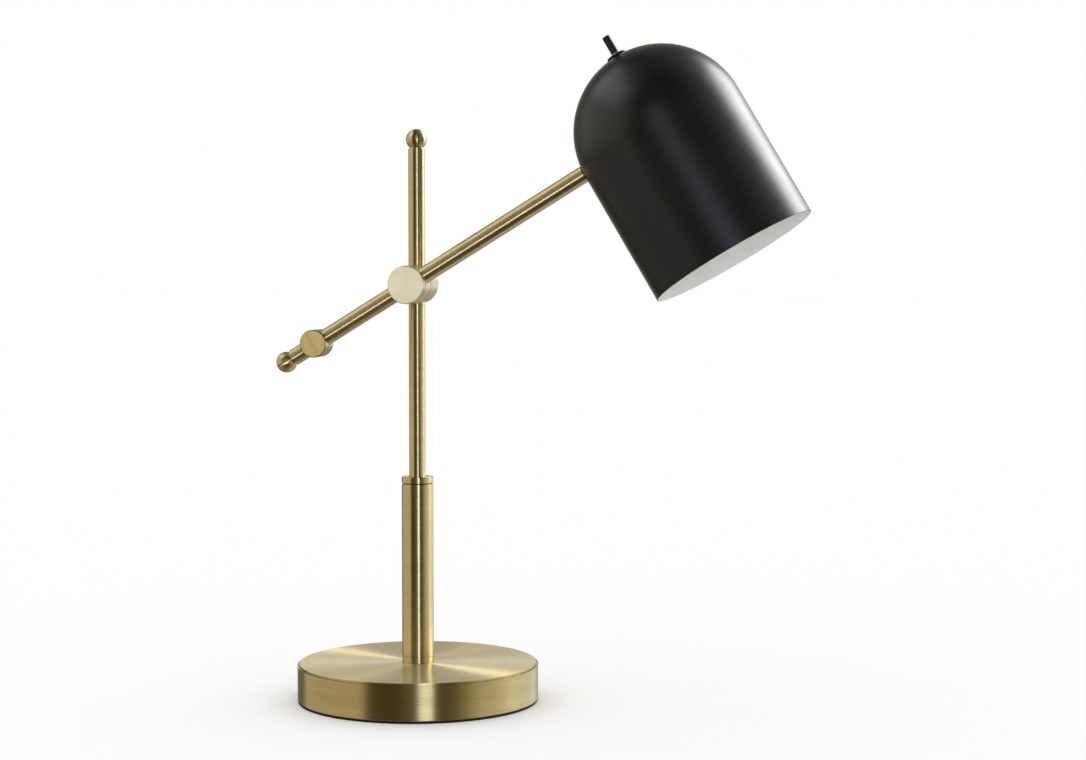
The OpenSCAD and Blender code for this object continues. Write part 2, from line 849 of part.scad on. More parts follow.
module centre_contact() {
    contact_z = socket_z + shell_len + socket_throat - contact_t;
    color(brass) on_shade() translate([0, 0, contact_z - slip_gap]) cylinder(d = contact_d, h = contact_t);
}

module head_lead() {
    color(black) on_shade() along_arm(-nipple_end + face_gap)
        cylinder(d = lead_d, h = nipple_end - face_gap - socket_d / 2 - slip_gap);
}

module switch_leads() {
    leads_z = socket_top + slip_gap;
    leads_r = bracket_w / 2 + 3;
    color(black)
    on_shade() for (side = [-1, 1]) translate([0, side * leads_r, leads_z])
        cylinder(d = lead_d, h = switch_body_top - switch_body_len - leads_z - slip_gap);
}

// ---- Bulb ----

// Half outline of the bulb, shrunk by inset: a round globe that narrows along a cone.
module bulb_section(inset) {
    r = bulb_d / 2;
    globe_z = bulb_tip_z + r;
    neck_r = bulb_neck_d / 2;
    slope = atan((socket_z - globe_z) / (r - neck_r)) / 2;
    globe_r = r - inset;
    intersection() {
        union() {
            translate([0, globe_z]) circle(r = globe_r);
            polygon([
                [0, globe_z], [globe_r * cos(slope), globe_z + globe_r * sin(slope)],
                [neck_r - inset, socket_z], [0, socket_z]
            ]);
        }
        translate([0, bulb_tip_z - 1]) square([bulb_d, bulb_len + 1 + inset]);
    }
}

module bulb_glass() {
    color(white)
    on_shade() rotate_extrude() difference() {
        bulb_section(0);
        bulb_section(glass_t);
    }
}

module bulb_cap() {
    cap_nose_r = 4;
    cap_nose_len = 4.5;
    skirt_len = cap_base_top - socket_z - cap_nose_len - 0.5;
    skirt_r = bulb_neck_d / 2 - thread_r / 2;
    color(steel)
    on_shade() translate([0, 0, socket_z + slip_gap]) rotate_extrude() difference() {
        union() {
            square([skirt_r, skirt_len]);
            for (i = [0 : thread_turns - 1])
                translate([cap_base_d / 2 - thread_r, shell_inset + i * thread_pitch]) circle(r = thread_r);
            translate([0, skirt_len - tiny])
                polygon([[0, 0], [skirt_r - 1, 0], [cap_nose_r, cap_nose_len], [0, cap_nose_len]]);
        }
        translate([0, -tiny]) square([skirt_r - glass_t, skirt_len - glass_t]);
    }
}

// ---- Switch ----

module switch_body() {
    color(black) on_shade() translate([0, 0, switch_body_top - switch_body_len])
        difference() {
            chamfered_rod(switch_body_d, switch_body_len, 1, 1);
            translate([0, 0, switch_body_len - bushing_depth])
                cylinder(d = bushing_d + 2 * slip_gap, h = bushing_depth + 1);
        }
}

module switch_bushing() {
    bushing_z = switch_body_top - bushing_depth + slip_gap;
    color(steel) on_shade() translate([0, 0, bushing_z])
        ring(bushing_d, shaft_d + 2 * run_gap, apex_z + ring_nut_t + bushing_rise - bushing_z);
}

module switch_lock_nut() {
    color(steel) on_shade() translate([0, 0, switch_body_top + slip_gap])
        hex_nut(socket_nut_af, bushing_d + 2 * slip_gap, switch_lock_t - slip_gap);
}

module switch_ring_nut() {
    color(black) on_shade() translate([0, 0, apex_z + slip_gap]) difference() {
        chamfered_rod(ring_nut_d, ring_nut_t - slip_gap, foot_edge, seam_edge);
        translate([0, 0, -tiny]) cylinder(d = bushing_d + 2 * slip_gap, h = ring_nut_t + 2 * tiny);
    }
}

module switch_knob() {
    color(black) on_shade() translate([0, 0, knob_z]) union() {
        chamfered_rod(switch_knob_d, switch_knob_len, foot_edge, edge);
        translate([0, 0, -shaft_len]) cylinder(d = shaft_d, h = shaft_len + 1);
    }
}

base_cover();
base_weight();
base_plate();
plate_screws();
base_pad();
cord_inlet();
terminal_block();
terminal_screws();
rod();
rod_washer();
rod_lock_washer();
rod_nut();
column_foot();
column_tube();
column_collar();
swivel_bush();
swivel_spring();
thrust_washer();
column_seat();
stop_pin();
base_lead();
stem_tube();
stem_foot();
stem_finial();
stem_block();
clutch_bolt();
disc_spring();
friction_washer();
stem_lead();
clutch_knob();
arm_block();
arm_tube();
tail_weight();
tail_grub_screw();
tail_finial();
arm_end_plug();
arm_nipple();
arm_washer();
head_spring();
head_nut();
arm_lead();
shade_shell();
head_spacer();
socket_bracket();
socket_body();
socket_nipple();
socket_nut();
screw_shell();
centre_contact();
head_lead();
switch_leads();
bulb_glass();
bulb_cap();
switch_body();
switch_bushing();
switch_lock_nut();
switch_ring_nut();
switch_knob();
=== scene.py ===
"""Swing arm desk lamp: brushed brass stand, stem and balanced arm, and a black enamelled shade.

Each piece that can be seen is turned, drilled or moulded here in mesh code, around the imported
frame. Its place and overall size come from the frame, and its class holds only the sizes that
a maker adds by hand, such as a rounded edge. Sizes are in millimetres until a mesh is placed.
"""

import json
import logging
import math
from collections.abc import Callable
from dataclasses import dataclass
from enum import Enum

import bmesh
import bpy
from mathutils import Matrix, Vector


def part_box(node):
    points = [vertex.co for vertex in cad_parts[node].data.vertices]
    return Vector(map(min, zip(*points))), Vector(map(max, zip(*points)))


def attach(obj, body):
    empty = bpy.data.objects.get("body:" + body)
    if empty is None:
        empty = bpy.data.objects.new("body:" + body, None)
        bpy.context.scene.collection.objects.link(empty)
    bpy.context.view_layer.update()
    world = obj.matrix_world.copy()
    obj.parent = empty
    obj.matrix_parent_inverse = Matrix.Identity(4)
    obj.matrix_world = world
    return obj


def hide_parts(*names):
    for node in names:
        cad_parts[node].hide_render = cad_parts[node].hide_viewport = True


LOG = logging.getLogger("lamp")
MM = 0.001
FULL_TURN = 2 * math.pi
GAP = 0.05  # clearance of a sliding fit, in millimetres
WELD = 1e-7  # corners closer than this, in metres, are one
SMOOTH_BELOW = math.radians(38)  # edges flatter than this are shaded smooth
TOUCH = 0.01  # how near a face lies to a line that it belongs to, in millimetres
FLAT = 0.99  # cosine between the axis and the way that a flat end faces
STEEP = 0.5  # the same for a wall, which faces less along the axis than this

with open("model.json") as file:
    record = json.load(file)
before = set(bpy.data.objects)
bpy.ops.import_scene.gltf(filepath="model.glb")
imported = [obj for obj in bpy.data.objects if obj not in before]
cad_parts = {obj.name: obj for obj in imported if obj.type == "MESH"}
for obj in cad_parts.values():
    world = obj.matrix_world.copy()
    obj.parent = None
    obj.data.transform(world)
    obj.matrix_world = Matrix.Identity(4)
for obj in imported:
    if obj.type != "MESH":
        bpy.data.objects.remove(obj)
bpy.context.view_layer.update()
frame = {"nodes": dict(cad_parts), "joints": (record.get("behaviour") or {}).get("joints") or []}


# ---- Places ----


@dataclass(frozen=True)
class Place:
    """A datum to make a piece on: z is the lathe's axis, and x is square to it. In metres."""

    origin: Vector
    x: Vector
    z: Vector

    @property
    def matrix(self) -> Matrix:
        """The turn and shift that put a piece made at zero in this place."""
        y = self.z.cross(self.x)
        turned = Matrix((self.x, y, self.z)).transposed().to_4x4()
        return Matrix.Translation(self.origin) @ turned

    def size(self, node: str) -> tuple[float, float, float]:
        """Measures a CAD node about this place's axis.

        Args:
            node: Name of the CAD node.

        Returns:
            Where it starts and ends along the axis, and its largest radius, in millimetres.
        """
        back = self.matrix.inverted()
        points = [back @ v.co / MM for v in frame["nodes"][node].data.vertices]
        wide, deep, tall = ([p[i] for p in points] for i in range(3))
        radius = max(max(wide) - min(wide), max(deep) - min(deep)) / 2
        return min(tall), max(tall), radius


def joint_point(name: str) -> Vector:
    """The point on a joint's axis that the record gives."""
    return Vector(next(j for j in frame["joints"] if j["name"] == name)["pos_m"])


def joint_axis(name: str) -> Vector:
    """The direction of a joint's axis."""
    return Vector(next(j for j in frame["joints"] if j["name"] == name)["axis"]).normalized()


ALONG_ARM = joint_axis("shade_turn")
UP_SHADE = joint_axis("switch_turn")
FORWARD = joint_axis("arm_tilt")
CLUTCH_POINT = joint_point("arm_tilt")
SWITCH_POINT = joint_point("switch_turn")
HEAD_POINT = SWITCH_POINT - UP_SHADE * UP_SHADE.dot(SWITCH_POINT - joint_point("shade_turn"))

ON_TABLE = Place(Vector((0, 0, 0)), Vector((1, 0, 0)), Vector((0, 0, 1)))
ON_CLUTCH = Place(Vector((0, 0, CLUTCH_POINT.z)), Vector((1, 0, 0)), FORWARD)
ON_ARM = Place(CLUTCH_POINT, UP_SHADE, ALONG_ARM)
ON_SHADE = Place(HEAD_POINT, ALONG_ARM, UP_SHADE)


# ---- Lathe and drill ----


@dataclass(frozen=True)
class Corner:
    """A corner of a half section: its radius, its height and how far it is rounded."""

    r: float
    z: float
    round: float = 0.0


ARC_STEP = math.radians(11)
HOLD = 0.12  # flat kept beside a rounding, so that its shading ends there


def arc(centre_z: float, radius: float, start: float, end: float, steps: int) -> list[Corner]:
    """Corners along a round stretch whose centre is on the axis.

    Args:
        centre_z: Height of the centre.
        radius: Radius of the stretch.
        start: First angle above level, in degrees.
        end: Last angle above level, in degrees.
        steps: Number of steps between them.

    Returns:
        The corners, from start to end.
    """
    angles = [math.radians(start + (end - start) * i / steps) for i in range(steps + 1)]
    return [Corner(radius * math.cos(a), centre_z + radius * math.sin(a)) for a in angles]


def rounded(outline: list[Corner], ring: bool) -> list[Vector]:
    """Draws a half section with its corners rounded.

    Args:
        outline: The corners in order.
        ring: True if the last corner joins the first, as round a bore.

    Returns:
        Points (radius, height) in order, in millimetres.
    """
    points = []
    for i, corner in enumerate(outline):
        here = Vector((corner.r, corner.z))
        if corner.round == 0 or (not ring and i in (0, len(outline) - 1)):
            points.append(here)
            continue
        after = outline[(i + 1) % len(outline)]
        to_before = (Vector((outline[i - 1].r, outline[i - 1].z)) - here).normalized()
        to_after = (Vector((after.r, after.z)) - here).normalized()
        half = to_before.angle(to_after) / 2
        reach = corner.round / math.tan(half)
        centre = here + (to_before + to_after).normalized() * corner.round / math.sin(half)
        spoke = here + to_before * reach - centre
        sweep = math.pi - 2 * half
        side = 1 if spoke.x * to_after.y - spoke.y * to_after.x > 0 else -1
        steps = max(2, math.ceil(sweep / ARC_STEP))
        points.append(here + to_before * (reach + HOLD))
        for k in range(steps + 1):
            turn = Matrix.Rotation(side * sweep * k / steps, 2)
            points.append(centre + turn @ spoke)
        points.append(here + to_after * (reach + HOLD))
    return points


def as_piece(bm: bmesh.types.BMesh, name: str, place: Place) -> bpy.types.Object:
    """Places a finished mesh and makes an object of it at the origin.

    Args:
        bm: The mesh in metres, about its own zero. It is freed.
        name: Name of the piece.
        place: Where it goes.

    Returns:
        The object, smooth but for its true edges.
    """
    bmesh.ops.transform(bm, matrix=place.matrix, verts=bm.verts)
    mesh = bpy.data.meshes.new(name)
    bm.to_mesh(mesh)
    bm.free()
    mesh.shade_smooth()
    mesh.set_sharp_from_angle(angle=SMOOTH_BELOW)
    piece = bpy.data.objects.new(name, mesh)
    bpy.context.scene.collection.objects.link(piece)
    return piece


def turn(
    name: str, place: Place, outline: list[Corner], ring: bool = False, steps: int = 128
) -> bpy.types.Object:
    """Turns a piece on the lathe.

    Args:
        name: Name of the piece.
        place: Its datum; the outline is spun round its z axis.
        outline: Half section. It starts and ends on the axis unless ring is set.
        ring: True for a piece with a bore, whose section closes on itself.
        steps: Facets round the piece.

    Returns:
        The placed piece, without a finish.
    """
    bm = bmesh.new()
    verts = [bm.verts.new((p.x * MM, 0, p.y * MM)) for p in rounded(outline, ring)]
    nexts = verts[1:] + verts[:1] if ring else verts[1:]
    edges = [bm.edges.new(pair) for pair in zip(verts, nexts)]
    bmesh.ops.spin(
        bm, geom=verts + edges, cent=(0, 0, 0), axis=(0, 0, 1), dvec=(0, 0, 0),
        angle=FULL_TURN, steps=steps, use_merge=True, use_normal_flip=False, use_duplicate=False,
    )
    bmesh.ops.remove_doubles(bm, verts=bm.verts, dist=WELD)
    bmesh.ops.dissolve_degenerate(bm, edges=bm.edges, dist=WELD)
    bmesh.ops.recalc_face_normals(bm, faces=bm.faces)
    return as_piece(bm, name, place)


def disc(
    name: str, place: Place, radius: float, ends: tuple[float, float],
    rounds: tuple[float, float], steps: int,
) -> bpy.types.Object:
    """Turns a plain solid disc.

    Args:
        name: Name of the piece.
        place: Its datum.
        radius: Radius of the disc.
        ends: Its lowest and highest point along the axis.
        rounds: How far its lower and its upper edge are rounded.
        steps: Facets round the piece.

    Returns:
        The placed piece, without a finish.
    """
    (low, high), (below, above) = ends, rounds
    outline = [Corner(0, low), Corner(radius, low, below), Corner(radius, high, above), Corner(0, high)]
    return turn(name, place, outline, steps=steps)


def sleeve(
    name: str, place: Place, radii: tuple[float, float], ends: tuple[float, float],
    rounds: tuple[float, float, float, float], steps: int = 96,
) -> bpy.types.Object:
    """Turns a plain tube or ring.

    Args:
        name: Name of the piece.
        place: Its datum.
        radii: Outer and inner radius.
        ends: Its lowest and highest point along the axis.
        rounds: Rounding of its outer low, outer high, inner high and inner low edge.
        steps: Facets round the piece.

    Returns:
        The placed piece, without a finish.
    """
    (outer, inner), (low, high) = radii, ends
    edges = ((outer, low), (outer, high), (inner, high), (inner, low))
    outline = [Corner(r, z, by) for (r, z), by in zip(edges, rounds)]
    return turn(name, place, outline, ring=True, steps=steps)


def drill(
    piece: bpy.types.Object, place: Place, radius: float, low: float, high: float, steps: int = 72
) -> None:
    """Cuts a round hole, or with few steps a slot or socket of that many sides.

    Args:
        piece: The piece to cut, which keeps its name.
        place: The hole runs along this place's z axis.
        radius: Radius of the hole.
        low: Where it starts along the axis.
        high: Where it ends.
        steps: Facets round the hole.
    """
    bm = bmesh.new()
    bmesh.ops.create_cone(
        bm, cap_ends=True, segments=steps, radius1=radius * MM, radius2=radius * MM,
        depth=(high - low) * MM, matrix=Matrix.Translation((0, 0, (low + high) / 2 * MM)),
    )
    cutter = as_piece(bm, "cutter", place)
    cut = piece.modifiers.new("cut", "BOOLEAN")
    cut.operation = "DIFFERENCE"
    cut.solver = "EXACT"
    cut.object = cutter
    evaluated = piece.evaluated_get(bpy.context.evaluated_depsgraph_get())
    mesh = bpy.data.meshes.new_from_object(evaluated)
    piece.modifiers.clear()
    whole = piece.data
    piece.data = mesh
    bpy.data.meshes.remove(whole)
    bpy.data.meshes.remove(cutter.data)
    mesh.name = piece.name
    mesh.materials.clear()
    mesh.shade_smooth()
    mesh.set_sharp_from_angle(angle=SMOOTH_BELOW)


def paint(
    piece: bpy.types.Object, place: Place, chosen: Callable[[Vector, Vector], bool], layer: int
) -> None:
    """Gives some faces of a piece another of its finishes.

    Args:
        piece: The placed piece.
        place: Its datum.
        chosen: Says yes to a face, from its middle in millimetres and its normal.
        layer: Number of the finish among the piece's materials.
    """
    back = place.matrix.inverted()
    turn_back = back.to_3x3()
    for face in piece.data.polygons:
        if chosen(back @ face.center / MM, turn_back @ face.normal):
            face.material_index = layer


def fit(
    piece: bpy.types.Object, body: str, nodes: list[str],
    finishes: list[bpy.types.Material],
) -> None:
    """Dresses a made piece and sets it on its body in place of its CAD nodes.

    Args:
        piece: The placed piece.
        body: CAD body that it moves with.
        nodes: CAD nodes that it stands for.
        finishes: Its materials, in the order of its faces' material numbers.
    """
    for finish in finishes:
        piece.data.materials.append(finish)
    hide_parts(*nodes)
    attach(piece, body)
    LOG.info("%s: %d faces, on %s", piece.name, len(piece.data.polygons), body)


def dress(finish: bpy.types.Material, *nodes: str) -> None:
    """Gives CAD nodes whose shape is right a better finish.

    Args:
        finish: The material that they all get.
        *nodes: Names of the CAD nodes.
    """
    for name in nodes:
        node = frame["nodes"][name]
        if not node.material_slots:
            node.data.materials.append(finish)
        for slot in node.material_slots:
            slot.material = finish
        LOG.info("%s: CAD shape kept, %s", name, finish.name)


# ---- Finishes ----


NOISE = (0.3, 0.7)  # where nearly all of a noise pattern's values lie
TWO_NOISES = (0.7, 1.3)  # the same for two patterns added up


def linear(code: str, strength: float = 1.0) -> tuple[float, float, float, float]:
    """Turns a hex colour as seen on a screen into the light that it stands for.

    Args:
        code: Colour such as "#C9B475".
        strength: Factor on the light.

    Returns:
        Red, green, blue and an alpha of 1.
    """
    parts = [int(code[i : i + 2], 16) / 255 for i in (1, 3, 5)]
    light = [p / 12.92 if p <= 0.04045 else ((p + 0.055) / 1.055) ** 2.4 for p in parts]
    return light[0] * strength, light[1] * strength, light[2] * strength, 1.0


def add_node(
    tree: bpy.types.NodeTree, kind: str, inputs: dict | None = None, **settings: object
) -> bpy.types.Node:
    """Adds one shader node with its settings and links.

    Args:
        tree: Tree that the node goes in.
        kind: The node's type, without "ShaderNode".
        inputs: For each input, by name or number, a value, or the output or node that feeds it.
        **settings: The node's own properties.

    Returns:
        The new node.
    """
    node = tree.nodes.new("ShaderNode" + kind)
    for name, value in settings.items():
        setattr(node, name, value)
    for key, value in (inputs or {}).items():
        value = value.outputs[0] if isinstance(value, bpy.types.Node) else value
        if isinstance(value, bpy.types.NodeSocket):
            tree.links.new(value, node.inputs[key])
        else:
            node.inputs[key].default_value = value
    return node


def blank(name: str) -> tuple[bpy.types.Material, bpy.types.NodeTree, bpy.types.Node]:
    """Starts a material.

    Args:
        name: Name of the finish.

    Returns:
        The material, its node tree and its surface shader.
    """
    material = bpy.data.materials.new(name)
    material.use_nodes = True
    return material, material.node_tree, material.node_tree.nodes["Principled BSDF"]


def surface(
    tree: bpy.types.NodeTree, tones: tuple[str, str], tone: bpy.types.Node,
    rough: tuple[bpy.types.Node, float, float, float, float],
    relief: tuple[bpy.types.Node, float, float],
) -> None:
    """Gives a finish its two tones, its uneven roughness and its small relief.

    Args:
        tree: Node tree of the material.
        tones: Its darker and its lighter colour.
        tone: Pattern that runs from the one to the other.
        rough: Pattern, its low and high end, and the roughness at each.
        relief: Pattern, how strong it is, and how deep in millimetres.
    """
    shader = tree.nodes["Principled BSDF"]
    dark, light = tones
    height, strength, depth = relief
    colour = add_node(tree, "Mix", {0: tone, 6: linear(dark), 7: linear(light)}, data_type="RGBA")
    even = add_node(tree, "MapRange", dict(enumerate(rough)))
    bump = add_node(tree, "Bump", {"Strength": strength, "Distance": depth * MM, "Height": height})
    tree.links.new(colour.outputs[2], shader.inputs["Base Color"])
    tree.links.new(even.outputs[0], shader.inputs["Roughness"])
    tree.links.new(bump.outputs[0], shader.inputs["Normal"])


class Lay(Enum):
    """Which way the brush went over the metal."""

    ROUND = "round the axis, as the piece turned"
    STRAIGHT = "along the axis"


@dataclass(frozen=True)
class BrushedBrass:
    """Antique brass, brushed with emery cloth and clear lacquered.

    The scratches lie side by side, so light spreads square to them: bands stay crisp round a
    tube and run its whole length, and a turned disc shows bright wedges. Spread says how
    strongly, and clear how much light gets through the lacquer instead of being scattered by it.
    """

    name: str
    centre: Vector
    axis: Vector
    lay: Lay = Lay.ROUND
    colour: str = "#D3C28F"
    shadow: str = "#CAB782"
    roughness: float = 0.28
    spread: float = 1.0
    clear: float = 1.0
    pitch: float = 0.9  # emery leaves lines 0.1 apart, drawn coarser so that they show
    strokes: float = 2.0
    patch: float = 0.13
    wear: float = 0.004
    lacquer: float = 0.35
    lacquer_haze: float = 0.15

    def build(self) -> bpy.types.Material:
        """Makes the material, with its lines laid about the axis."""
        material, tree, shader = blank(self.name)
        fine = 1 / (self.pitch * MM)
        spot = add_node(tree, "TexCoord").outputs["Object"]
        local = add_node(tree, "VectorMath", {0: spot, 1: self.centre}, operation="SUBTRACT")
        along = add_node(tree, "VectorMath", {0: local, 1: self.axis}, operation="DOT_PRODUCT")
        on_axis = add_node(
            tree, "VectorMath", {0: self.axis, "Scale": along.outputs["Value"]}, operation="SCALE"
        )
        across = add_node(tree, "VectorMath", {0: local, 1: on_axis}, operation="SUBTRACT")
        if self.lay is Lay.ROUND:
            radius = add_node(tree, "VectorMath", {0: across}, operation="LENGTH")
            spoke = add_node(tree, "VectorMath", {0: across}, operation="NORMALIZE")
            height = add_node(
                tree, "Math", {0: along.outputs["Value"], 1: radius.outputs["Value"]}, operation="ADD"
            )
            scaled = add_node(tree, "Math", {0: height, 1: fine}, operation="MULTIPLY")
            far = add_node(tree, "VectorMath", {0: spoke, "Scale": self.strokes}, operation="SCALE")
            near = add_node(tree, "VectorMath", {0: self.axis, "Scale": scaled}, operation="SCALE")
            lay = add_node(tree, "VectorMath", {0: self.axis, 1: across}, operation="CROSS_PRODUCT")
        else:
            stroke = self.strokes / MM
            scaled = add_node(tree, "Math", {0: along.outputs["Value"], 1: stroke}, operation="MULTIPLY")
            far = add_node(tree, "VectorMath", {0: self.axis, "Scale": scaled}, operation="SCALE")
            near = add_node(tree, "VectorMath", {0: across, "Scale": fine}, operation="SCALE")
            lay = add_node(tree, "CombineXYZ", dict(enumerate(self.axis)))
        lines = add_node(tree, "VectorMath", {0: far, 1: near}, operation="ADD")
        scratch = add_node(tree, "TexNoise", {"Vector": lines, "Scale": 1.0, "Detail": 2.0})
        patch = add_node(tree, "TexNoise", {"Vector": lines, "Scale": self.patch, "Detail": 1.0})
        depth = add_node(tree, "Math", {0: scratch, 1: patch}, operation="ADD")
        tone = add_node(tree, "MapRange", dict(enumerate((depth, *TWO_NOISES, 0.0, 1.0))))
        surface(
            tree, (self.shadow, self.colour), tone,
            (depth, *TWO_NOISES, self.roughness + self.wear, self.roughness - self.wear),
            (scratch, 0.1, 0.01),
        )
        facing = add_node(tree, "NewGeometry").outputs["Normal"]
        lay_now = add_node(
            tree, "VectorTransform", {0: lay}, vector_type="VECTOR",
            convert_from="OBJECT", convert_to="WORLD",
        )
        spread = add_node(tree, "VectorMath", {0: facing, 1: lay_now}, operation="CROSS_PRODUCT")
        tree.links.new(spread.outputs[0], shader.inputs["Tangent"])
        shader.inputs["Metallic"].default_value = self.clear
        shader.inputs["Anisotropic"].default_value = self.spread
        shader.inputs["Coat Weight"].default_value = self.lacquer
        shader.inputs["Coat Roughness"].default_value = self.lacquer_haze
        return material


@dataclass(frozen=True)
class SatinMetal:
    """Plated or turned metal with no lay: even, with faint clouding where it was handled."""

    name: str
    colour: str
    shadow: str
    roughness: float
    cloud: float = 4.0
    clear: float = 1.0

    def build(self) -> bpy.types.Material:
        """Makes the material, clouded at the size given in millimetres."""
        material, tree, shader = blank(self.name)
        spot = add_node(tree, "TexCoord").outputs["Object"]
        cloud = add_node(
            tree, "TexNoise", {"Vector": spot, "Scale": 1 / (self.cloud * MM), "Detail": 3.0}
        )
        grit = add_node(tree, "TexNoise", {"Vector": spot, "Scale": 1 / (0.5 * MM), "Detail": 1.0})
        surface(
            tree, (self.shadow, self.colour), cloud,
            (cloud, *NOISE, self.roughness + 0.05, self.roughness), (grit, 0.1, 0.01),
        )
        shader.inputs["Metallic"].default_value = self.clear
        return material


@dataclass(frozen=True)
class Coating:
    """Something that isn't metal: sprayed enamel, moulded plastic, rubber, fibre or glass.

    Grain is the size in millimetres of its small unevenness, such as orange peel or spark
    texture, and relief is how deep that is.
    """

    name: str
    colour: str
    shadow: str
    roughness: float
    grain: float
    relief: float
    gloss: float = 0.0
    index: float = 1.5

    def build(self) -> bpy.types.Material:
        """Makes the material."""
        material, tree, shader = blank(self.name)
        spot = add_node(tree, "TexCoord").outputs["Object"]
        grain = add_node(
            tree, "TexNoise", {"Vector": spot, "Scale": 1 / (self.grain * MM), "Detail": 2.0}
        )
        haze = add_node(tree, "TexNoise", {"Vector": spot, "Scale": 1 / (30 * MM), "Detail": 4.0})
        surface(
            tree, (self.shadow, self.colour), grain,
            (haze, *NOISE, self.roughness + 0.03, self.roughness - 0.03), (grain, 1.0, self.relief),
        )
        shader.inputs["IOR"].default_value = self.index
        shader.inputs["Coat Weight"].default_value = self.gloss
        shader.inputs["Coat Roughness"].default_value = 0.08
        return material


class Finishes:
    """The lamp's finishes that several pieces share, each made once."""

    def __init__(self) -> None:
        """Makes every shared material."""
        # Bright from the tool, a warm soft shine. The dark groove finish is painted shade: it darkens
        # grooves where shadow falls, so each reads as a dark line.
        self.turned_brass = SatinMetal("turned_brass", "#D2B36B", "#B8954C", 0.22).build()
        self.painted_groove_shade = SatinMetal("oxidised_brass", "#4A3A1A", "#2A2010", 0.6, 1.0).build()
        # Zinc is a flat grey with pale bloom and blued steel a cold dark sheen; the nickel is painted
        # nearly white and half matt, a painted highlight so the bushing shows as a bright crescent.
        self.zinc_steel = SatinMetal("zinc_plated_steel", "#B4B6B8", "#94979B", 0.34, 2.5).build()
        self.nickel = SatinMetal("nickel_plate", "#F4F1EA", "#E8E3D9", 0.4, 2.0, 0.5).build()
        self.spring_steel = SatinMetal("blued_spring_steel", "#6A6A70", "#4A4A52", 0.3).build()
        # Sprayed and baked, so its faint orange peel softens every highlight.
        # The black's faint blue is painted in to offset the warm tint of the light that the enamel
        # mirrors.
        self.black_enamel = Coating("satin_black_enamel", "#0D0E11", "#0B0C0E", 0.34, 0.8, 0.004).build()
        self.white_enamel = Coating("white_enamel", "#EDEDEB", "#E4E4E1", 0.42, 0.9, 0.004).build()
        # Moulded against a spark-eroded tool, which leaves a fine even grain.
        self.black_plastic = Coating("moulded_black_abs", "#161616", "#0E0E0E", 0.36, 0.3, 0.01).build()
        self.black_phenolic = Coating("moulded_phenolic", "#17130F", "#0E0B09", 0.25, 0.5, 0.006).build()
        # Open-skinned foam and pressed fibre take no shine; soft rubber and nylon take a little.
        self.foam = Coating("closed_cell_foam", "#1B1B1B", "#0B0B0B", 0.95, 0.7, 0.12).build()
        self.rubber = Coating("soft_rubber", "#1C1C1C", "#141414", 0.6, 0.4, 0.01).build()
        self.fibre = Coating("pressed_fibre", "#2A2420", "#191512", 0.85, 0.25, 0.03).build()
        self.nylon = Coating("moulded_nylon", "#E6E2D6", "#DAD5C6", 0.45, 0.6, 0.006).build()
        # Cast in sand, so it is coarse and dull all over.
        self.iron = Coating("sand_cast_iron", "#5A5856", "#3A3837", 0.75, 0.9, 0.15).build()
        # Blown glass, etched white on its inside and smooth outside.
        self.opal_glass = Coating("opal_glass", "#F4F2EC", "#EFECE4", 0.5, 3.0, 0.002, 0.8).build()


# ---- Base ----


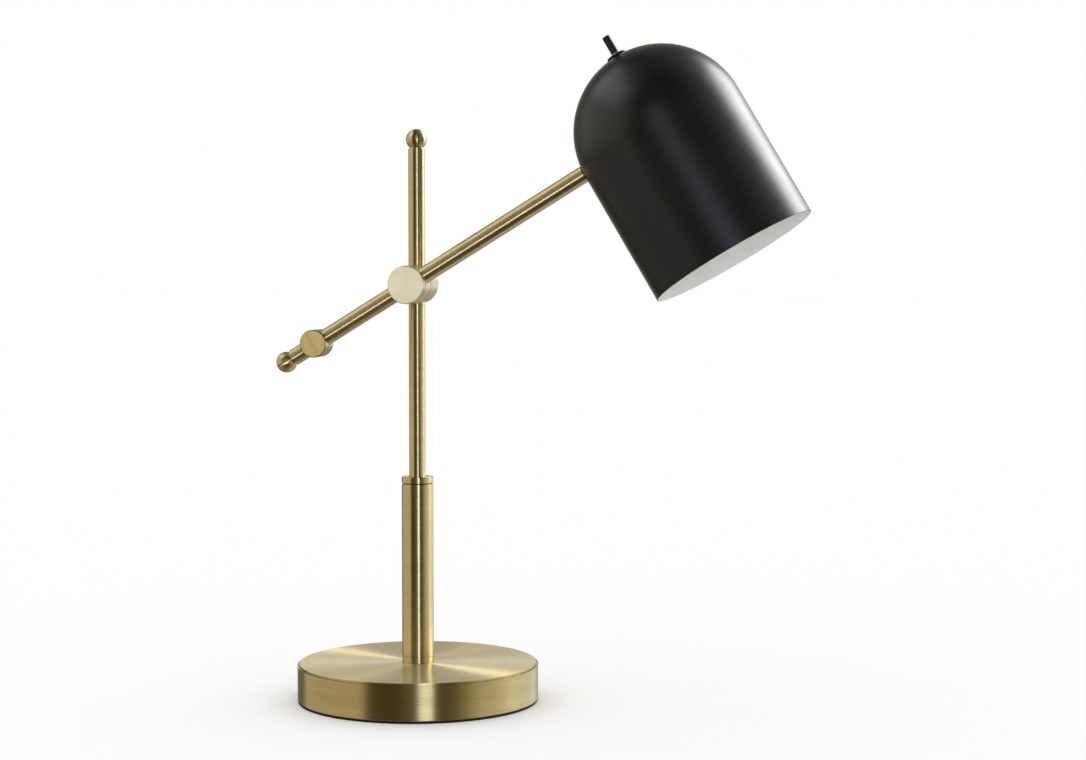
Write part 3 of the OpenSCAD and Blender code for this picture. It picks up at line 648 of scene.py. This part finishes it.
@dataclass(frozen=True)
class Base:
    """Pressed brass cover over a cast weight, on a foam pad, with the cord's inlet behind."""

    finishes: Finishes
    edge_round: float = 1.5
    wall: float = 1.5
    rim_round: float = 0.4
    rod_hole: float = 5.05
    inlet_neck: float = 5.8
    inlet_bore: float = 3.3
    inlet_flange: float = 2.5
    inlet_barb: float = 4.0
    inlet_catch: float = 0.8
    inlet_slack: float = 0.35

    def build(self) -> None:
        """Makes the pieces of the base."""
        self.make_cover()
        self.make_pad()
        self.make_inlet()
        dress(self.finishes.iron, "base_weight")
        dress(self.finishes.zinc_steel, "base_plate", "plate_screws", "rod", "rod_nut")
        dress(self.finishes.zinc_steel, "rod_washer", "rod_lock_washer")
        dress(self.finishes.nylon, "terminal_block")
        dress(self.finishes.turned_brass, "terminal_screws")
        dress(self.finishes.rubber, "base_lead")

    def inlet_place(self) -> Place:
        """The inlet's axis: its zero is the cover's wall and z points out of the back."""
        low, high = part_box("cord_inlet")
        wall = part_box("base_cover")[1].y
        middle = Vector((0, wall, (low.z + high.z) / 2))
        return Place(middle, Vector((1, 0, 0)), Vector((0, 1, 0)))

    def make_cover(self) -> None:
        """Turns the cover and drills it for the inlet."""
        low, high, radius = ON_TABLE.size("base_cover")
        cover = turn("base_cover_shell", ON_TABLE, [
            Corner(radius, low, self.rim_round), Corner(radius, high, self.edge_round),
            Corner(self.rod_hole, high), Corner(self.rod_hole, high - self.wall),
            Corner(radius - self.wall, high - self.wall, self.wall),
            Corner(radius - self.wall, low, self.rim_round),
        ], ring=True, steps=256)
        drill(cover, self.inlet_place(), self.inlet_neck, -4 * self.wall, 4 * self.wall)
        # One brass in two tones: the top is painted paler with less metal shine (painted light) and the
        # side darker (painted shade), from how the light falls on each.
        brass = BrushedBrass(
            "brushed_brass_base", ON_TABLE.origin, ON_TABLE.z, colour="#E2D19E",
            shadow="#D8C790", roughness=0.31, clear=0.72, strokes=5.0, pitch=1.1,
        ).build()
        side = BrushedBrass(
            "brushed_brass_base_side", ON_TABLE.origin, ON_TABLE.z, colour="#CFBC84",
            shadow="#C2AC70", roughness=0.27, spread=0.9, strokes=4.0, pitch=1.1,
        ).build()
        paint(cover, ON_TABLE, lambda _, normal: abs(normal.z) < STEEP, 1)
        fit(cover, "stand", ["base_cover"], [brass, side])

    def make_pad(self) -> None:
        """Cuts the foam pad that the lamp stands on."""
        low, high, radius = ON_TABLE.size("base_pad")
        pad = disc("foam_pad", ON_TABLE, radius, (low, high), (self.rim_round, self.rim_round), 192)
        fit(pad, "stand", ["base_pad"], [self.finishes.foam])

    def make_inlet(self) -> None:
        """Moulds the snap-in bushing that the cord would pass through."""
        place = self.inlet_place()
        _, _, flange = place.size("cord_inlet")
        barb = self.inlet_neck + self.inlet_catch
        inside = -self.wall - self.inlet_slack
        inlet = turn("cord_inlet_bushing", place, [
            Corner(self.inlet_bore, self.inlet_flange, 0.9),
            Corner(flange - 1.6, self.inlet_flange, 0.5),
            Corner(flange, self.inlet_flange - 0.9, 0.3), Corner(flange, GAP),
            Corner(self.inlet_neck - GAP, GAP), Corner(self.inlet_neck - GAP, inside),
            Corner(barb, inside, 0.15), Corner(barb - 1, inside - self.inlet_barb, 0.4),
            Corner(self.inlet_bore, inside - self.inlet_barb, 0.3),
        ], ring=True, steps=96)
        fit(inlet, "stand", ["cord_inlet"], [self.finishes.black_plastic])


# ---- Column ----


@dataclass(frozen=True)
class Column:
    """Thick brass tube between a foot ring and a turned collar, with the swivel inside it."""

    finishes: Finishes
    wall: float = 1.5
    seam_round: float = 0.3
    undercut: float = 0.5
    foot_h: float = 5.0
    collar_h: float = 5.0
    groove: float = 0.7
    groove_depth: float = 1.0
    lip: float = 0.2
    collar_bore: float = 6.55
    rod_hole: float = 5.05

    def build(self) -> None:
        """Makes the pieces of the column."""
        brass = BrushedBrass("brushed_brass_column", ON_TABLE.origin, ON_TABLE.z, strokes=1.5).build()
        low, high, radius = ON_TABLE.size("column_tube")
        spigot = radius - self.wall - GAP
        tube = sleeve(
            "column_tube_turned", ON_TABLE, (radius, radius - self.wall), (low, high),
            (self.seam_round, self.seam_round * 2, 0, 0), 128,
        )
        fit(tube, "stand", ["column_tube"], [brass])
        foot_low, foot_high, _ = ON_TABLE.size("column_foot")
        foot = turn("column_foot_ring", ON_TABLE, [
            Corner(radius - self.undercut, foot_low),
            Corner(radius - self.undercut, foot_low + self.undercut),
            Corner(radius, foot_low + self.undercut, 0.15),
            Corner(radius, foot_low + self.foot_h - GAP, self.seam_round),
            Corner(spigot, foot_low + self.foot_h - GAP), Corner(spigot, foot_high, 0.4),
            Corner(self.rod_hole, foot_high), Corner(self.rod_hole, foot_low),
        ], ring=True)
        fit(foot, "stand", ["column_foot"], [brass])
        collar_low, collar_high, _ = ON_TABLE.size("column_collar")
        collar_z = collar_high - self.collar_h
        groove_r = radius - self.groove_depth
        collar = turn("column_collar_ring", ON_TABLE, [
            Corner(spigot, collar_low, 0.4), Corner(spigot, collar_z - self.groove),
            Corner(groove_r, collar_z - self.groove), Corner(groove_r, collar_z),
            Corner(radius, collar_z, self.seam_round), Corner(radius, collar_high, 0.45),
            Corner(self.collar_bore, collar_high, 0.3), Corner(self.collar_bore, collar_low),
        ], ring=True)
        # The groove under the collar and the spigot below it get the dark groove finish: painted shade.
        edge, top = radius - self.lip, collar_z + TOUCH
        paint(collar, ON_TABLE, lambda middle, _: middle.xy.length < edge and middle.z < top, 1)
        fit(collar, "stand", ["column_collar"], [brass, self.finishes.painted_groove_shade])
        dress(self.finishes.nylon, "swivel_bush", "thrust_washer")
        dress(self.finishes.spring_steel, "swivel_spring")
        dress(self.finishes.turned_brass, "column_seat")
        dress(self.finishes.zinc_steel, "stop_pin")


# ---- Tubes, balls and clutch ----


def block_brass(name: str) -> bpy.types.Material:
    """The clutch blocks' brass, brushed round the clutch, painted paler and with less metal shine:
    painted light standing in for the brighter reflections on the blocks.
    """
    return BrushedBrass(
        name, ON_CLUTCH.origin, ON_CLUTCH.z, strokes=1.5,
        colour="#E2D5AB", shadow="#D8CA9C", roughness=0.32, clear=0.7,
    ).build()


@dataclass(frozen=True)
class BallEnd:
    """A turned ball with a plain neck that is pressed into a tube's end."""

    name: str
    node: str
    body: str
    place: Place
    flip: bool = False
    chamfer: float = 0.5

    def build(self, plug: float) -> None:
        """Turns the ball and its neck.

        Args:
            plug: Radius of the neck.
        """
        low, high, radius = self.place.size(self.node)
        way = -1 if self.flip else 1
        centre = low + radius if self.flip else high - radius
        length = high - low - radius
        join = math.degrees(math.asin(plug / radius))
        ball = arc(0, radius, 90, join - 90, 40)
        outline = [Corner(0, centre + way * radius)]
        outline += [Corner(c.r, centre + way * c.z) for c in ball[1:]]
        outline += [
            Corner(plug, centre - way * (length - self.chamfer)),
            Corner(plug - self.chamfer, centre - way * length), Corner(0, centre - way * length),
        ]
        piece = turn(self.name, self.place, outline, steps=96)
        middle = self.place.matrix @ Vector((0, 0, centre * MM))
        brass = BrushedBrass("brushed_brass_" + self.name, middle, self.place.z, strokes=1.0).build()
        fit(piece, self.body, [self.node], [brass])


@dataclass(frozen=True)
class Stem:
    """Thin upright tube with a ball on top and the rear half of the clutch on it."""

    finishes: Finishes
    wall: float = 1.0
    tube_round: float = 0.5
    burr: float = 0.2
    bolt: float = 4.0
    block_round: float = 0.7
    seam_round: float = 0.35

    def build(self) -> None:
        """Makes the pieces of the stem."""
        brass = BrushedBrass("brushed_brass_stem", ON_TABLE.origin, ON_TABLE.z, strokes=1.0).build()
        low, high, radius = ON_TABLE.size("stem_tube")
        tube = sleeve(
            "stem_tube_drawn", ON_TABLE, (radius, radius - self.wall), (low, high),
            (0, self.tube_round, self.burr, 0),
        )
        drill(tube, ON_CLUTCH, self.bolt + GAP, -2 * radius, 2 * radius)
        fit(tube, "stem", ["stem_tube"], [brass])
        BallEnd("stem_ball", "stem_finial", "stem", ON_TABLE).build(radius - self.wall - GAP)
        self.make_block(radius)
        dress(self.finishes.turned_brass, "stem_foot", "clutch_bolt")
        dress(self.finishes.zinc_steel, "disc_spring")
        dress(self.finishes.fibre, "friction_washer")
        dress(self.finishes.rubber, "stem_lead")

    def make_block(self, tube: float) -> None:
        """Turns the rear clutch block and drills it for the stem and the bolt.

        Args:
            tube: Outside radius of the stem tube.
        """
        low, high, radius = ON_CLUTCH.size("stem_block")
        rounds = (self.block_round, self.seam_round)
        block = disc("clutch_block_rear", ON_CLUTCH, radius, (low, high), rounds, 144)
        drill(block, ON_TABLE, tube + GAP, CLUTCH_POINT.z / MM - 2 * radius,
              CLUTCH_POINT.z / MM + 2 * radius, 96)
        drill(block, ON_CLUTCH, self.bolt + GAP, 2 * low, 2 * high)
        fit(block, "stem", ["stem_block"], [block_brass("brushed_brass_rear_block")])


@dataclass(frozen=True)
class ClutchKnob:
    """Low brass disc at the front, which screws into the clutch bolt."""

    thickness: float = 1.6
    edge_round: float = 1.0
    back_round: float = 0.3
    stud: float = 2.5

    def build(self) -> None:
        """Turns the knob with its stud."""
        low, high, radius = ON_CLUTCH.size("clutch_knob")
        back = high - self.thickness
        knob = turn("clutch_knob_disc", ON_CLUTCH, [
            Corner(0, high), Corner(radius, high, self.edge_round),
            Corner(radius, back, self.back_round), Corner(self.stud, back),
            Corner(self.stud, low, 0.3), Corner(0, low),
        ], steps=144)
        # The rounded edge is painted paler, a painted highlight round the rim; the flat face is painted
        # pale and nearly matt, a painted reflection of the bright light that it faces.
        edge = BrushedBrass(
            "fine_turned_edge", ON_CLUTCH.origin, ON_CLUTCH.z, colour="#E6DAB4", shadow="#DDD0A6",
            clear=0.7,
        ).build()
        pale = BrushedBrass(
            "fine_turned_brass", ON_CLUTCH.origin, ON_CLUTCH.z, colour="#EFE7C9", shadow="#EBE2C1",
            roughness=0.6, spread=0.5, clear=0.35, strokes=2.0, pitch=0.8,
        ).build()
        paint(knob, ON_CLUTCH, lambda _, normal: normal.z > FLAT, 1)
        fit(knob, "clutch_knob", ["clutch_knob"], [edge, pale])


@dataclass(frozen=True)
class Arm:
    """Thin tube through the front clutch block, with a drum weight and a ball at its tail."""

    finishes: Finishes
    wall: float = 1.0
    tube_round: float = 0.5
    burr: float = 0.2
    bolt: float = 4.0
    seam_round: float = 0.3
    ring: float = 3.4
    groove: float = 0.7
    groove_depth: float = 0.5
    lip: float = 0.1
    drum_round: float = 0.55
    grub: float = 2.0
    face_lay: float = 62.0  # slope of the brush lines on the drum's faces, from level

    def build(self) -> None:
        """Makes the pieces of the arm."""
        brass = BrushedBrass(
            "brushed_brass_arm", ON_ARM.origin, ON_ARM.z, roughness=0.3, strokes=1.0
        ).build()
        low, high, radius = ON_ARM.size("arm_tube")
        tube = sleeve(
            "arm_tube_drawn", ON_ARM, (radius, radius - self.wall), (low, high),
            (self.tube_round, self.burr, 0, self.burr),
        )
        drill(tube, ON_CLUTCH, self.bolt + GAP, -4 * radius, 8 * radius)
        fit(tube, "arm", ["arm_tube"], [brass])
        ball = BallEnd("tail_ball", "tail_finial", "arm", ON_ARM, flip=True)
        ball.build(radius - self.wall - GAP)
        self.make_block(radius)
        self.make_drum(radius)
        dress(self.finishes.spring_steel, "tail_grub_screw")
        dress(self.finishes.turned_brass, "arm_end_plug")
        dress(self.finishes.zinc_steel, "arm_nipple", "head_spring", "head_nut")
        dress(self.finishes.fibre, "arm_washer")
        dress(self.finishes.rubber, "arm_lead")

    def make_block(self, tube: float) -> None:
        """Turns the front clutch block with its thin ring, and drills it.

        Args:
            tube: Outside radius of the arm tube.
        """
        low, high, radius = ON_CLUTCH.size("arm_block")
        ring_z = high + GAP - self.ring
        groove_r = radius - self.groove_depth
        block = turn("clutch_block_front", ON_CLUTCH, [
            Corner(0, low), Corner(radius, low, self.seam_round),
            Corner(radius, ring_z, 0.15), Corner(groove_r, ring_z),
            Corner(groove_r, ring_z + self.groove), Corner(radius, ring_z + self.groove, 0.15),
            Corner(radius, high, self.seam_round), Corner(0, high),
        ], steps=144)
        drill(block, ON_ARM, tube + GAP, -2 * radius, 2 * radius, 96)
        drill(block, ON_CLUTCH, self.bolt + GAP, 0, 2 * high)
        # The groove under the thin ring gets the dark groove finish: painted shade.
        edge, below, above = radius - self.lip, ring_z - TOUCH, ring_z + self.groove + TOUCH
        paint(block, ON_CLUTCH, lambda at, _: below < at.z < above and at.xy.length < edge, 1)
        brass = block_brass("brushed_brass_front_block")
        fit(block, "arm", ["arm_block"], [brass, self.finishes.painted_groove_shade])

    def make_drum(self, tube: float) -> None:
        """Turns the tail weight, whose flat faces are brushed straight.

        Args:
            tube: Outside radius of the arm tube.
        """
        along_low, along_high, _ = ON_ARM.size("tail_weight")
        centre = ON_ARM.origin + ON_ARM.z * (along_low + along_high) / 2 * MM
        place = Place(centre, UP_SHADE, FORWARD)
        low, high, radius = place.size("tail_weight")
        rounds = (self.drum_round, self.drum_round)
        drum = disc("tail_weight_drum", place, radius, (low, high), rounds, 128)
        drill(drum, ON_ARM, tube + GAP, along_low - tube, along_high + tube, 96)
        drill(drum, place, self.grub + GAP, 2 * low, 0, 48)
        paint(drum, place, lambda _, normal: abs(normal.z) > FLAT, 1)
        side = BrushedBrass("brushed_brass_drum", centre, place.z, strokes=1.5).build()
        slope = math.radians(self.face_lay)
        lay = Vector((math.cos(slope), 0, -math.sin(slope)))
        face = BrushedBrass(
            "brushed_brass_drum_face", centre, lay, lay=Lay.STRAIGHT, colour="#E2CF8C",
            shadow="#CDB66C", roughness=0.5, spread=0.8, clear=0.65, strokes=0.12, pitch=0.9,
        ).build()
        fit(drum, "arm", ["tail_weight"], [side, face])


# ---- Shade ----


@dataclass(frozen=True)
class Shade:
    """Spun steel bell, black outside and white inside, on the arm's nipple."""

    finishes: Finishes
    wall: float = 1.0
    rim_round: float = 0.3
    top_hole: float = 4.05
    nipple_hole: float = 4.05
    dome_steps: int = 48

    def build(self) -> None:
        """Spins the bell and dresses what holds it."""
        low, high, radius = ON_SHADE.size("shade_shell")
        inner = radius - self.wall
        top = math.sqrt(radius * radius - self.top_hole * self.top_hole)
        dome_z = high - top
        outer_end = math.degrees(math.acos(self.top_hole / radius))
        inner_end = math.degrees(math.acos(self.top_hole / inner))
        outline = [Corner(radius, low, self.rim_round)]
        outline += arc(dome_z, radius, 0, outer_end, self.dome_steps)
        outline += arc(dome_z, inner, inner_end, 0, self.dome_steps)
        outline += [Corner(inner, low, self.rim_round)]
        bell = turn("shade_bell", ON_SHADE, outline, ring=True, steps=192)
        arm_side = Place(ON_SHADE.origin, ON_SHADE.z, -ON_SHADE.x)
        drill(bell, arm_side, self.nipple_hole, inner - 4 * self.wall, radius + 4 * self.wall)
        rim = low + self.rim_round
        paint(bell, ON_SHADE, lambda middle, normal: self.is_white(middle, normal, rim, dome_z), 1)
        skins = [self.finishes.black_enamel, self.finishes.white_enamel]
        fit(bell, "shade", ["shade_shell"], skins)
        dress(self.finishes.zinc_steel, "head_spacer", "socket_bracket", "socket_nipple", "socket_nut")
        dress(self.finishes.rubber, "head_lead", "switch_leads")

    def is_white(self, middle: Vector, normal: Vector, rim: float, dome_z: float) -> bool:
        """Says whether a face of the bell is on its inside or its rim.

        Args:
            middle: Middle of the face.
            normal: The way that it faces.
            rim: Height below which both sides are white.
            dome_z: Height where the dome starts.

        Returns:
            True for a face in the white enamel.
        """
        spoke = Vector((middle.x, middle.y, max(0.0, middle.z - dome_z)))
        return middle.z < rim or normal.dot(spoke) < 0


# ---- Lamp holder and bulb ----


@dataclass(frozen=True)
class LampHolder:
    """Phenolic lamp holder with its screw shell, and the frosted bulb in it."""

    finishes: Finishes
    wall: float = 1.8
    mouth_round: float = 0.8
    shoulder: float = 2.0
    nipple_hole: float = 4.05
    throat: float = 31.0
    rib: float = 0.5
    rib_start: float = 5.0
    ribs: int = 3
    rib_pitch: float = 2.2
    neck: float = 12.5
    glass: float = 0.8

    def build(self) -> None:
        """Makes the holder and the bulb."""
        low, high, radius = ON_SHADE.size("socket_body")
        outline = [Corner(radius, low, self.mouth_round)]
        for i in range(self.ribs):
            z = low + self.rib_start + i * self.rib_pitch
            outline += [
                Corner(radius, z), Corner(radius - self.rib, z + self.rib),
                Corner(radius - self.rib, z + 2 * self.rib), Corner(radius, z + 3 * self.rib),
            ]
        outline += [
            Corner(radius, high, self.shoulder), Corner(self.nipple_hole, high),
            Corner(self.nipple_hole, low + self.throat),
            Corner(radius - self.wall, low + self.throat, 0.5),
            Corner(radius - self.wall, low, 0.5),
        ]
        holder = turn("lamp_holder", ON_SHADE, outline, ring=True, steps=96)
        fit(holder, "shade", ["socket_body"], [self.finishes.black_phenolic])
        dress(self.finishes.turned_brass, "screw_shell", "centre_contact")
        # The cap takes the nickel that is painted nearly white, a painted highlight.
        dress(self.finishes.nickel, "bulb_cap")
        self.make_bulb()

    def make_bulb(self) -> None:
        """Blows the bulb: a globe that runs into a cone down to its neck."""
        low, high, radius = ON_SHADE.size("bulb_glass")
        outer = self.half_section(radius, self.neck, low, high)
        inner = self.half_section(radius - self.glass, self.neck - self.glass, low + self.glass, high)
        bulb = turn("bulb_globe", ON_SHADE, outer + inner[::-1], steps=96)
        fit(bulb, "shade", ["bulb_glass"], [self.finishes.opal_glass])

    def half_section(self, radius: float, neck: float, tip: float, top: float) -> list[Corner]:
        """Outline of the globe and its neck.

        Args:
            radius: Radius of the globe.
            neck: Radius of the neck.
            tip: Height of the globe's lowest point.
            top: Height where the neck ends.

        Returns:
            Corners from the tip up to the neck's end.
        """
        globe_z = tip + radius
        rise = top - globe_z
        far = math.hypot(neck, rise)
        leave = math.degrees(math.atan2(rise, neck) - math.acos(radius / far))
        globe = arc(globe_z, radius, -90, leave, 36)
        return [Corner(0, tip), *globe[1:], Corner(neck, top)]


# ---- Switch ----


@dataclass(frozen=True)
class Switch:
    """Rotary switch on top of the shade: nickel bushing, ring nut and a slim knob."""

    finishes: Finishes
    thread_pitch: float = 0.5
    thread_depth: float = 0.2
    shaft: float = 2.05
    nut_round: float = 0.35
    burr: float = 0.2
    knob_round: float = 0.45
    knob_crown: float = 0.35

    def build(self) -> None:
        """Makes the pieces of the switch that show above the shade."""
        self.make_bushing()
        self.make_ring_nut()
        self.make_knob()
        dress(self.finishes.black_plastic, "switch_body")
        dress(self.finishes.zinc_steel, "switch_lock_nut")

    def make_bushing(self) -> None:
        """Turns the bushing and cuts its fine thread as plain rings."""
        low, high, radius = ON_SHADE.size("switch_bushing")
        outline = [Corner(radius, low)]
        turns = int((high - low) / self.thread_pitch) - 1
        for i in range(turns):
            z = low + (i + 0.5) * self.thread_pitch
            outline += [Corner(radius, z), Corner(radius - self.thread_depth, z + self.thread_pitch / 2)]
        outline += [
            Corner(radius, high - self.thread_pitch / 2),
            Corner(radius - self.thread_depth, high), Corner(self.shaft, high),
            Corner(self.shaft, low),
        ]
        bushing = turn("switch_bushing_thread", ON_SHADE, outline, ring=True, steps=72)
        # The nickel here is painted nearly white and half matt: a painted highlight on the bushing.
        fit(bushing, "shade", ["switch_bushing"], [self.finishes.nickel])

    def make_ring_nut(self) -> None:
        """Turns the round nut that clamps the switch to the shade."""
        low, high, radius = ON_SHADE.size("switch_ring_nut")
        _, _, bushing = ON_SHADE.size("switch_bushing")
        nut = sleeve(
            "switch_ring_nut_turned", ON_SHADE, (radius, bushing + GAP), (low, high),
            (self.burr, self.nut_round, self.burr, 0),
        )
        fit(nut, "shade", ["switch_ring_nut"], [self.finishes.black_plastic])

    def make_knob(self) -> None:
        """Moulds the slim knob on its shaft, with a faintly crowned end."""
        low, high, radius = ON_SHADE.size("switch_knob")
        foot = ON_SHADE.size("switch_bushing")[1] + GAP
        shaft = self.shaft - GAP
        crown_z = high - self.knob_crown
        knob = turn("switch_knob_moulded", ON_SHADE, [
            Corner(0, high), Corner(radius * 0.5, high - self.knob_crown * 0.25),
            Corner(radius, crown_z, self.knob_round), Corner(radius, foot, self.burr),
            Corner(shaft, foot), Corner(shaft, low), Corner(0, low),
        ], steps=72)
        fit(knob, "switch", ["switch_knob"], [self.finishes.black_plastic])


# ---- Studio ----


@dataclass(frozen=True)
class Softbox:
    """A soft light that polished surfaces mirror, placed as seen from the lamp.

    Angles are in degrees: azimuth to the right of the camera, elevation above level, and half
    the width and height. Strength is how bright its cloth is, where white paper is 1. Flags keep
    its light off all but the pieces that only names, where it names any.
    """

    name: str
    azimuth: float
    elevation: float
    half_width: float
    half_height: float
    strength: float
    tint: str = "#FFFFFF"
    only: tuple[str, ...] = ()
    distance: float = 2.6

    def build(self, aim: Vector, camera_turn: float) -> None:
        """Hangs the light.

        Args:
            aim: The point that it faces, in metres.
            camera_turn: The camera's own azimuth, in radians.
        """
        round_z = camera_turn + math.radians(self.azimuth)
        rise = math.radians(self.elevation)
        level = math.cos(rise)
        way = Vector((math.sin(round_z) * level, -math.cos(round_z) * level, math.sin(rise)))
        light = bpy.data.lights.new(self.name, "AREA")
        light.shape = "RECTANGLE"
        light.size = 2 * self.distance * math.tan(math.radians(self.half_width))
        light.size_y = 2 * self.distance * math.tan(math.radians(self.half_height))
        light.energy = self.strength * math.pi * light.size * light.size_y
        light.color = linear(self.tint)[:3]
        lamp = bpy.data.objects.new(self.name, light)
        lamp.location = aim + way * self.distance
        lamp.rotation_euler = way.to_track_quat("Z", "Y").to_euler()
        lamp.visible_diffuse = False
        lamp.visible_camera = False
        if self.only:
            lit = bpy.data.collections.new(self.name)
            for name in self.only:
                lit.objects.link(bpy.data.objects[name])
            lamp.light_linking.receiver_collection = lit
        bpy.context.scene.collection.objects.link(lamp)


@dataclass(frozen=True)
class Studio:
    """Pale floor, soft even light and the camera."""

    azimuth: float = 15.93
    distance: float = 1797.3
    aside: float = 98.8
    height: float = 358.0
    pitch: float = 3.33
    lens: float = 75.96
    floor_size: float = 30.0
    floor_colour: str = "#F2F2F2"
    paper: float = 1.0
    # Azimuth to the right of the camera, colour and level of the room as metal mirrors it.
    bands: tuple[tuple[float, str, float], ...] = (
        (-180, "#FFFAEC", 0.70),
        (-168, "#FFFAEC", 0.70),
        (-160, "#FFFAEC", 0.20),
        (-138, "#FFFAEC", 0.20),
        (-128, "#FFFAEC", 0.78),
        (-54, "#FFF8E4", 0.80),
        (-44, "#FFE8BC", 0.12),
        (20, "#FFE8BC", 0.11),
        (38, "#FFEEC8", 0.22),
        (52, "#FFF4D8", 0.54),
        (65, "#FFFAEC", 0.90),
        (86, "#FAFAFF", 1.02),
        (98, "#F0F6FF", 1.35),
        (150, "#F0F6FF", 1.3),
        (160, "#FFFAEC", 0.60),
        (180, "#FFFAEC", 0.60),
    )
    # Elevation, and the share of that level that is left there.
    heights: tuple[tuple[float, float], ...] = (
        (-90, 0.55),
        (-40, 0.5),
        (-22, 0.28),
        (-15, 0.46),
        (-10, 0.86),
        (-7, 1.0),
        (16, 1.0),
        (32, 0.36),
        (90, 0.2),
    )
    softboxes: tuple[Softbox, ...] = (
        Softbox("softbox_right", 122, 31, 14, 12, 9.0),
        Softbox("softbox_right_edge", 122, 31, 21, 18, 1.2),
        Softbox("softbox_left", -98, 46, 30, 14, 1.2),
        Softbox("softbox_front", 10, -2, 6.5, 11, 6.5, "#D8E6FF"),
        Softbox("softbox_above", -6, 22, 7, 13, 0.8),
        Softbox(
            "softbox_arm", -23, -15, 7, 6, 6.5, "#F4F4FF",
            only=("arm_tube_drawn", "tail_ball", "tail_weight_drum"),
        ),
    )

    def build(self) -> None:
        """Sets up the studio."""
        self.make_floor()
        self.light_room()
        for softbox in self.softboxes:
            softbox.build(Vector((0, 0, self.height * MM)), math.radians(self.azimuth))
        self.place_camera()
        bpy.context.scene.view_settings.view_transform = "Standard"

    def make_floor(self) -> None:
        """Lays a pale floor that can be seen only from above."""
        bm = bmesh.new()
        bmesh.ops.create_grid(bm, x_segments=1, y_segments=1, size=self.floor_size / 2)
        mesh = bpy.data.meshes.new("floor")
        bm.to_mesh(mesh)
        bm.free()
        floor = bpy.data.objects.new("floor", mesh)
        bpy.context.scene.collection.objects.link(floor)
        material, tree, shader = blank("pale_paper")
        shader.inputs["Base Color"].default_value = linear(self.floor_colour)
        shader.inputs["Roughness"].default_value = 0.9
        shader.inputs["Specular IOR Level"].default_value = 0.0
        behind = add_node(tree, "NewGeometry").outputs["Backfacing"]
        clear = add_node(tree, "BsdfTransparent")
        mix = add_node(tree, "MixShader", {0: behind, 1: shader.outputs[0], 2: clear.outputs[0]})
        tree.links.new(mix.outputs[0], tree.nodes["Material Output"].inputs["Surface"])
        mesh.materials.append(material)
        floor.visible_glossy = False
        floor.visible_shadow = False

    def light_room(self) -> None:
        """Lights the room evenly, and gives the metal bands to mirror."""
        world = bpy.data.worlds.new("studio")
        bpy.context.scene.world = world
        world.use_nodes = True
        world.cycles.sampling_method = "NONE"
        tree = world.node_tree
        tree.nodes.clear()
        right, near = self.ways()
        way = add_node(tree, "TexCoord").outputs["Generated"]
        to_right = add_node(tree, "VectorMath", {0: way, 1: right}, operation="DOT_PRODUCT")
        to_near = add_node(tree, "VectorMath", {0: way, 1: near}, operation="DOT_PRODUCT")
        up = add_node(tree, "SeparateXYZ", {0: way}).outputs["Z"]
        angle = add_node(
            tree, "Math", {0: to_right.outputs["Value"], 1: to_near.outputs["Value"]}, operation="ARCTAN2"
        )
        rise = add_node(tree, "Math", {0: up}, operation="ARCSINE")
        share = add_node(tree, "MapRange", {0: angle, 1: -math.pi, 2: math.pi, 3: 0.0, 4: 1.0})
        ramp = add_node(tree, "ValToRGB", {0: share})
        self.fill(ramp, [(at / 360 + 0.5, linear(colour, level)) for at, colour, level in self.bands])
        climb = add_node(tree, "MapRange", {0: rise, 1: -math.pi / 2, 2: math.pi / 2, 3: 0.0, 4: 1.0})
        fade = add_node(tree, "ValToRGB", {0: climb})
        self.fill(fade, [(at / 180 + 0.5, (level, level, level, 1.0)) for at, level in self.heights])
        light = add_node(
            tree, "Mix", {0: 1.0, 6: ramp.outputs["Color"], 7: fade.outputs["Color"]},
            data_type="RGBA", blend_type="MULTIPLY",
        ).outputs[2]
        ray = add_node(tree, "LightPath")
        even = linear("#FFFFFF", self.paper / linear(self.floor_colour)[0])
        lit = add_node(
            tree, "Mix", {0: ray.outputs["Is Glossy Ray"], 6: even, 7: light}, data_type="RGBA"
        )
        seen = add_node(
            tree, "Mix",
            {0: ray.outputs["Is Camera Ray"], 6: lit.outputs[2], 7: linear("#FFFFFF", self.paper)},
            data_type="RGBA",
        )
        background = add_node(tree, "Background", {"Color": seen.outputs[2], "Strength": 1.0})
        output = add_node(tree, "OutputWorld", {"Surface": background})
        output.is_active_output = True

    def fill(
        self, ramp: bpy.types.Node, stops: list[tuple[float, tuple[float, float, float, float]]]
    ) -> None:
        """Sets the stops of a colour ramp.

        Args:
            ramp: The ramp, which starts with two stops.
            stops: Position from 0 to 1, and colour, of each in order.
        """
        elements = ramp.color_ramp.elements
        for i, (position, colour) in enumerate(stops):
            stop = elements[i] if i < 2 else elements.new(1.0)
            stop.position = position
            stop.color = colour

    def ways(self) -> tuple[Vector, Vector]:
        """Level ways to the camera's right and from the lamp towards the camera."""
        turn_by = math.radians(self.azimuth)
        right = Vector((math.cos(turn_by), math.sin(turn_by), 0))
        return right, Vector((math.sin(turn_by), -math.cos(turn_by), 0))

    def place_camera(self) -> None:
        """Stands the camera in front of the lamp and a little to its right."""
        right, back = self.ways()
        camera = bpy.data.objects.new("camera", bpy.data.cameras.new("camera"))
        bpy.context.scene.collection.objects.link(camera)
        camera.location = (back * self.distance + right * self.aside) * MM
        camera.location.z = self.height * MM
        camera.rotation_euler = (math.radians(90 - self.pitch), 0, math.radians(self.azimuth))
        camera.data.lens = self.lens
        camera.data.clip_end = 100
        bpy.context.scene.camera = camera


def main() -> None:
    """Builds the lamp from the table up, then the studio round it."""
    logging.basicConfig(level=logging.INFO, format="%(name)s: %(message)s")
    finishes = Finishes()
    Base(finishes).build()
    Column(finishes).build()
    Stem(finishes).build()
    ClutchKnob().build()
    Arm(finishes).build()
    Shade(finishes).build()
    LampHolder(finishes).build()
    Switch(finishes).build()
    Studio().build()


if __name__ == "__main__":
    main()
